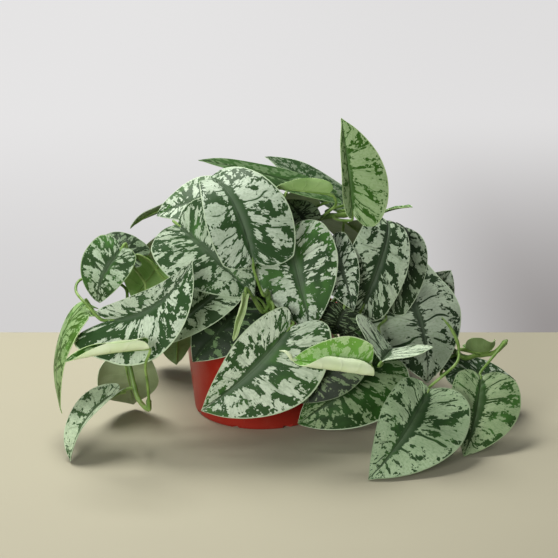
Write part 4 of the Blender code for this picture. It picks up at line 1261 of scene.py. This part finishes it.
def makePot(look):
    lipBase = look["height"] - look["lipHeight"]
    top, lip, wall, base = look["height"], look["lipRadius"], look["wall"], look["baseRadius"]
    bodyTop = lip - look["lipStep"]
    profile = [
        (0, look["floor"]), (base - wall - 2, look["floor"]), (base - wall - 0.6, look["floor"] + 0.6),
        (base - wall, look["floor"] + 2), (bodyTop - wall, lipBase), (lip - wall - 0.6, lipBase + 3),
        (lip - wall, top - 1), (lip - wall + 0.2, top - 0.3), (lip - wall + 0.6, top), (lip - 0.6, top),
        (lip - 0.2, top - 0.3), (lip, top - 0.9), (lip - 0.5, lipBase + 1.2), (lip - 0.8, lipBase + 0.4),
        (lip - 1.4, lipBase), (bodyTop + 0.4, lipBase - 0.2), (bodyTop, lipBase - 1), (base + 0.5, 3),
        (base + 0.2, 1.4), (base - 0.4, 0.4), (base - 1.2, 0), (0, 0),
    ]
    pot = newObject("potBlank", turnedMesh("potBlank", profile, look["sides"]))
    tools = []
    for index in range(look["drains"]):
        angle = math.tau * (index + 0.5) / look["drains"]
        circle = look["drainCircle"]
        place = (circle * math.cos(angle), circle * math.sin(angle))
        tools.append(cutter("drain", look["drainRadius"], -2, look["floor"] + 2, place,
                            look["drainSides"], 0))
        reach = base - look["notchDepth"] + look["notchWidth"] / 2
        place = (reach * math.cos(angle), reach * math.sin(angle))
        tools.append(cutter("notch", look["notchWidth"] / 2, -2, look["notchHeight"], place, 4, angle))
    for tool in tools:
        difference = pot.modifiers.new("Cut", "BOOLEAN")
        difference.operation = "DIFFERENCE"
        difference.solver = "MANIFOLD"
        difference.object = tool
    mesh = finishedMesh(pot)
    mesh.materials.clear()  # the cuts leave an empty slot
    for tool in tools:
        bpy.data.objects.remove(tool)
    keepPiece("pot_detail", mesh, [potPlastic], ["pot"])


# Soil: a crumbly bed with loose crumbs, bark and perlite on top

soilLook = {
    "top": 86.0, "crown": 1.5, "gap": 0.35, "lumps": 1.4, "sides": 120, "rings": 34, "spread": 72,
    "spreadCrown": 74, "crumble": 0.45, "crumbleScale": 2.2, "tilt": 0.5,
}
looseLooks = {
    "soil_crumbs": {"count": 420, "sizes": (2.0, 5.5), "flat": 0.8, "material": soilEarth, "seed": 3},
    "soil_bark": {"count": 46, "sizes": (4.0, 8.0), "flat": 0.35, "material": barkChips, "seed": 5},
    "soil_perlite": {"count": 90, "sizes": (1.6, 3.4), "flat": 0.85, "material": perliteGrain, "seed": 8},
}


def makeSoil(look):
    lipBase = potLook["height"] - potLook["lipHeight"]
    gap = potLook["wall"] + look["gap"]
    rim = potLook["lipRadius"] - gap - 0.7
    rings = look["rings"]
    dome = []
    for index in range(rings + 1):
        dome.append((rim * index / rings, look["top"] - look["crown"] * (index / rings) ** 2))
    profile = dome + [
        (rim, lipBase + 3.2), (potLook["lipRadius"] - potLook["lipStep"] - gap, lipBase),
        (potLook["baseRadius"] - gap, potLook["floor"] + 2.2),
        (potLook["baseRadius"] - gap - 2, potLook["floor"] + look["gap"]),
        (0, potLook["floor"] + look["gap"]),
    ]
    mesh = turnedMesh("soil", profile, look["sides"])
    for vert in mesh.vertices:
        radius = math.hypot(vert.co.x, vert.co.y) / mm
        if vert.co.z / mm > look["top"] - look["crown"] - 0.01 and radius < rim - 0.5:
            spot = vert.co / mm
            lump = noise.noise(spot * 0.16) + 0.7 * noise.noise(spot * 0.42)
            lump += 0.35 * noise.noise(spot * 1.1)
            vert.co.z += lump * look["lumps"] * mm * min(1.0, (rim - radius) / 6)
    keepPiece("soil_detail", mesh, [soilEarth], ["soil"])


def scatter(name, look):
    draws = random.Random(look["seed"])
    flat = look["flat"]
    shape = bmesh.new()
    for _ in range(look["count"]):
        radius = soilLook["spread"] * math.sqrt(draws.random())
        angle = draws.uniform(0, math.tau)
        size = draws.uniform(*look["sizes"])
        ground = soilLook["top"] - soilLook["crown"] * (radius / soilLook["spreadCrown"]) ** 2
        height = ground + size * flat * 0.4
        made = bmesh.ops.create_icosphere(shape, subdivisions=2, radius=size / 2 * mm)["verts"]
        shift = Vector((draws.random(), draws.random(), draws.random())) * 50
        for vert in made:
            place = vert.co / mm / size * soilLook["crumbleScale"] + shift
            vert.co *= 1 + soilLook["crumble"] * noise.noise(place)
            vert.co.z *= flat
        turn = Matrix.Rotation(draws.uniform(0, math.tau), 4, "Z")
        turn = turn @ Matrix.Rotation(draws.uniform(-soilLook["tilt"], soilLook["tilt"]), 4, "X")
        spot = (radius * math.cos(angle) * mm, radius * math.sin(angle) * mm, height * mm)
        place = Matrix.Translation(spot)
        stretch = Matrix.Diagonal((draws.uniform(1.0, 2.6) if flat < 0.6 else 1.0, 1.0, 1.0, 1.0))
        bmesh.ops.transform(shape, matrix=place @ turn @ stretch, verts=made)
    for face in shape.faces:
        face.smooth = True
    keepPiece(name, meshOf(shape, name), [look["material"]])


makePot(potLook)
makeSoil(soilLook)
for name, look in looseLooks.items():
    scatter(name, look)
print("pot and soil made")


# Stage: a pale table top on a white floor that glows and carries painted shade

stageLook = {
    "table": {
        "front": -1500.0, "back": 212.0, "half": 1700.0, "thickness": 18.0, "bevel": 1.2,
        "colour": srgb(182, 177, 154),
    },
    "floor": {
        # The floor's shade colour and the shares that spread it are painted shade, darkest near the table
        # towards the right
        "half": 5000.0, "colour": srgb(229, 228, 228), "shade": srgb(149, 145, 144),
        "near": (1500, 50), "right": (150, 340), "leftPaintedShade": 0.33, "farPaintedShade": 0.1,
    },
}


def makeTable(look):
    shape = bmesh.new()
    depth = look["back"] - look["front"]
    size = Matrix.Diagonal((look["half"] * 2 * mm, depth * mm, look["thickness"] * mm, 1))
    centre = Matrix.Translation((0, (look["front"] + look["back"]) / 2 * mm, -look["thickness"] / 2 * mm))
    bmesh.ops.create_cube(shape, size=1.0, matrix=centre @ size)
    bmesh.ops.bevel(shape, geom=shape.edges[:], offset=look["bevel"] * mm, offset_type="OFFSET",
                    affect="EDGES", segments=3, profile=0.5, material=-1)
    material, tree, shader = newMaterial("tableTop")
    place = objectPlace(tree)
    pale = tuple(min(1.0, value * 1.06) for value in look["colour"][:3]) + (1.0,)
    colour = blendColours(tree, clouds(tree, place, 5.0, 3.0), look["colour"], pale)
    feed(tree, shader, {"Base Color": colour, "Roughness": 0.62, "Specular IOR Level": 0.3})
    addBump(tree, shader, clouds(tree, place, 900.0, 2.0), 0.03)
    stagePiece("table", meshOf(shape, "table"), material)


def makeFloor(look):
    shape = bmesh.new()
    bmesh.ops.create_grid(shape, x_segments=8, y_segments=8, size=look["half"] * mm,
                          matrix=Matrix.Translation((0, 0, -stageLook["table"]["thickness"] * mm)))
    material, tree, shader = newMaterial("glowingFloorPaintedShade")
    place = splitAxes(tree, objectPlace(tree))
    near = ramp(tree, place[1], look["near"][0] * mm, look["near"][1] * mm)
    right = ramp(tree, place[0], look["right"][0] * mm, look["right"][1] * mm, look["leftPaintedShade"])
    share = scaled(tree, near, right, ramp(tree, place[0], -0.5, 0.7, 0.0, look["farPaintedShade"]))
    # The floor glows with its own colour, so the lights on the plant leave it even; painted shade darkens
    # it near the table, most towards the right, and faintly from left to right all the way out
    feed(tree, shader, {
        "Emission Color": blendColours(tree, share, look["colour"], look["shade"]),
        "Emission Strength": 1.0, "Base Color": (0.01, 0.01, 0.01, 1.0), "Roughness": 0.9,
        "Specular IOR Level": 0.0,
    })
    stagePiece("floor", meshOf(shape, "floor"), material)


def stagePiece(name, mesh, material):
    mesh.materials.append(material)
    piece = newObject(name, mesh)


makeTable(stageLook["table"])
makeFloor(stageLook["floor"])
print("stage made")
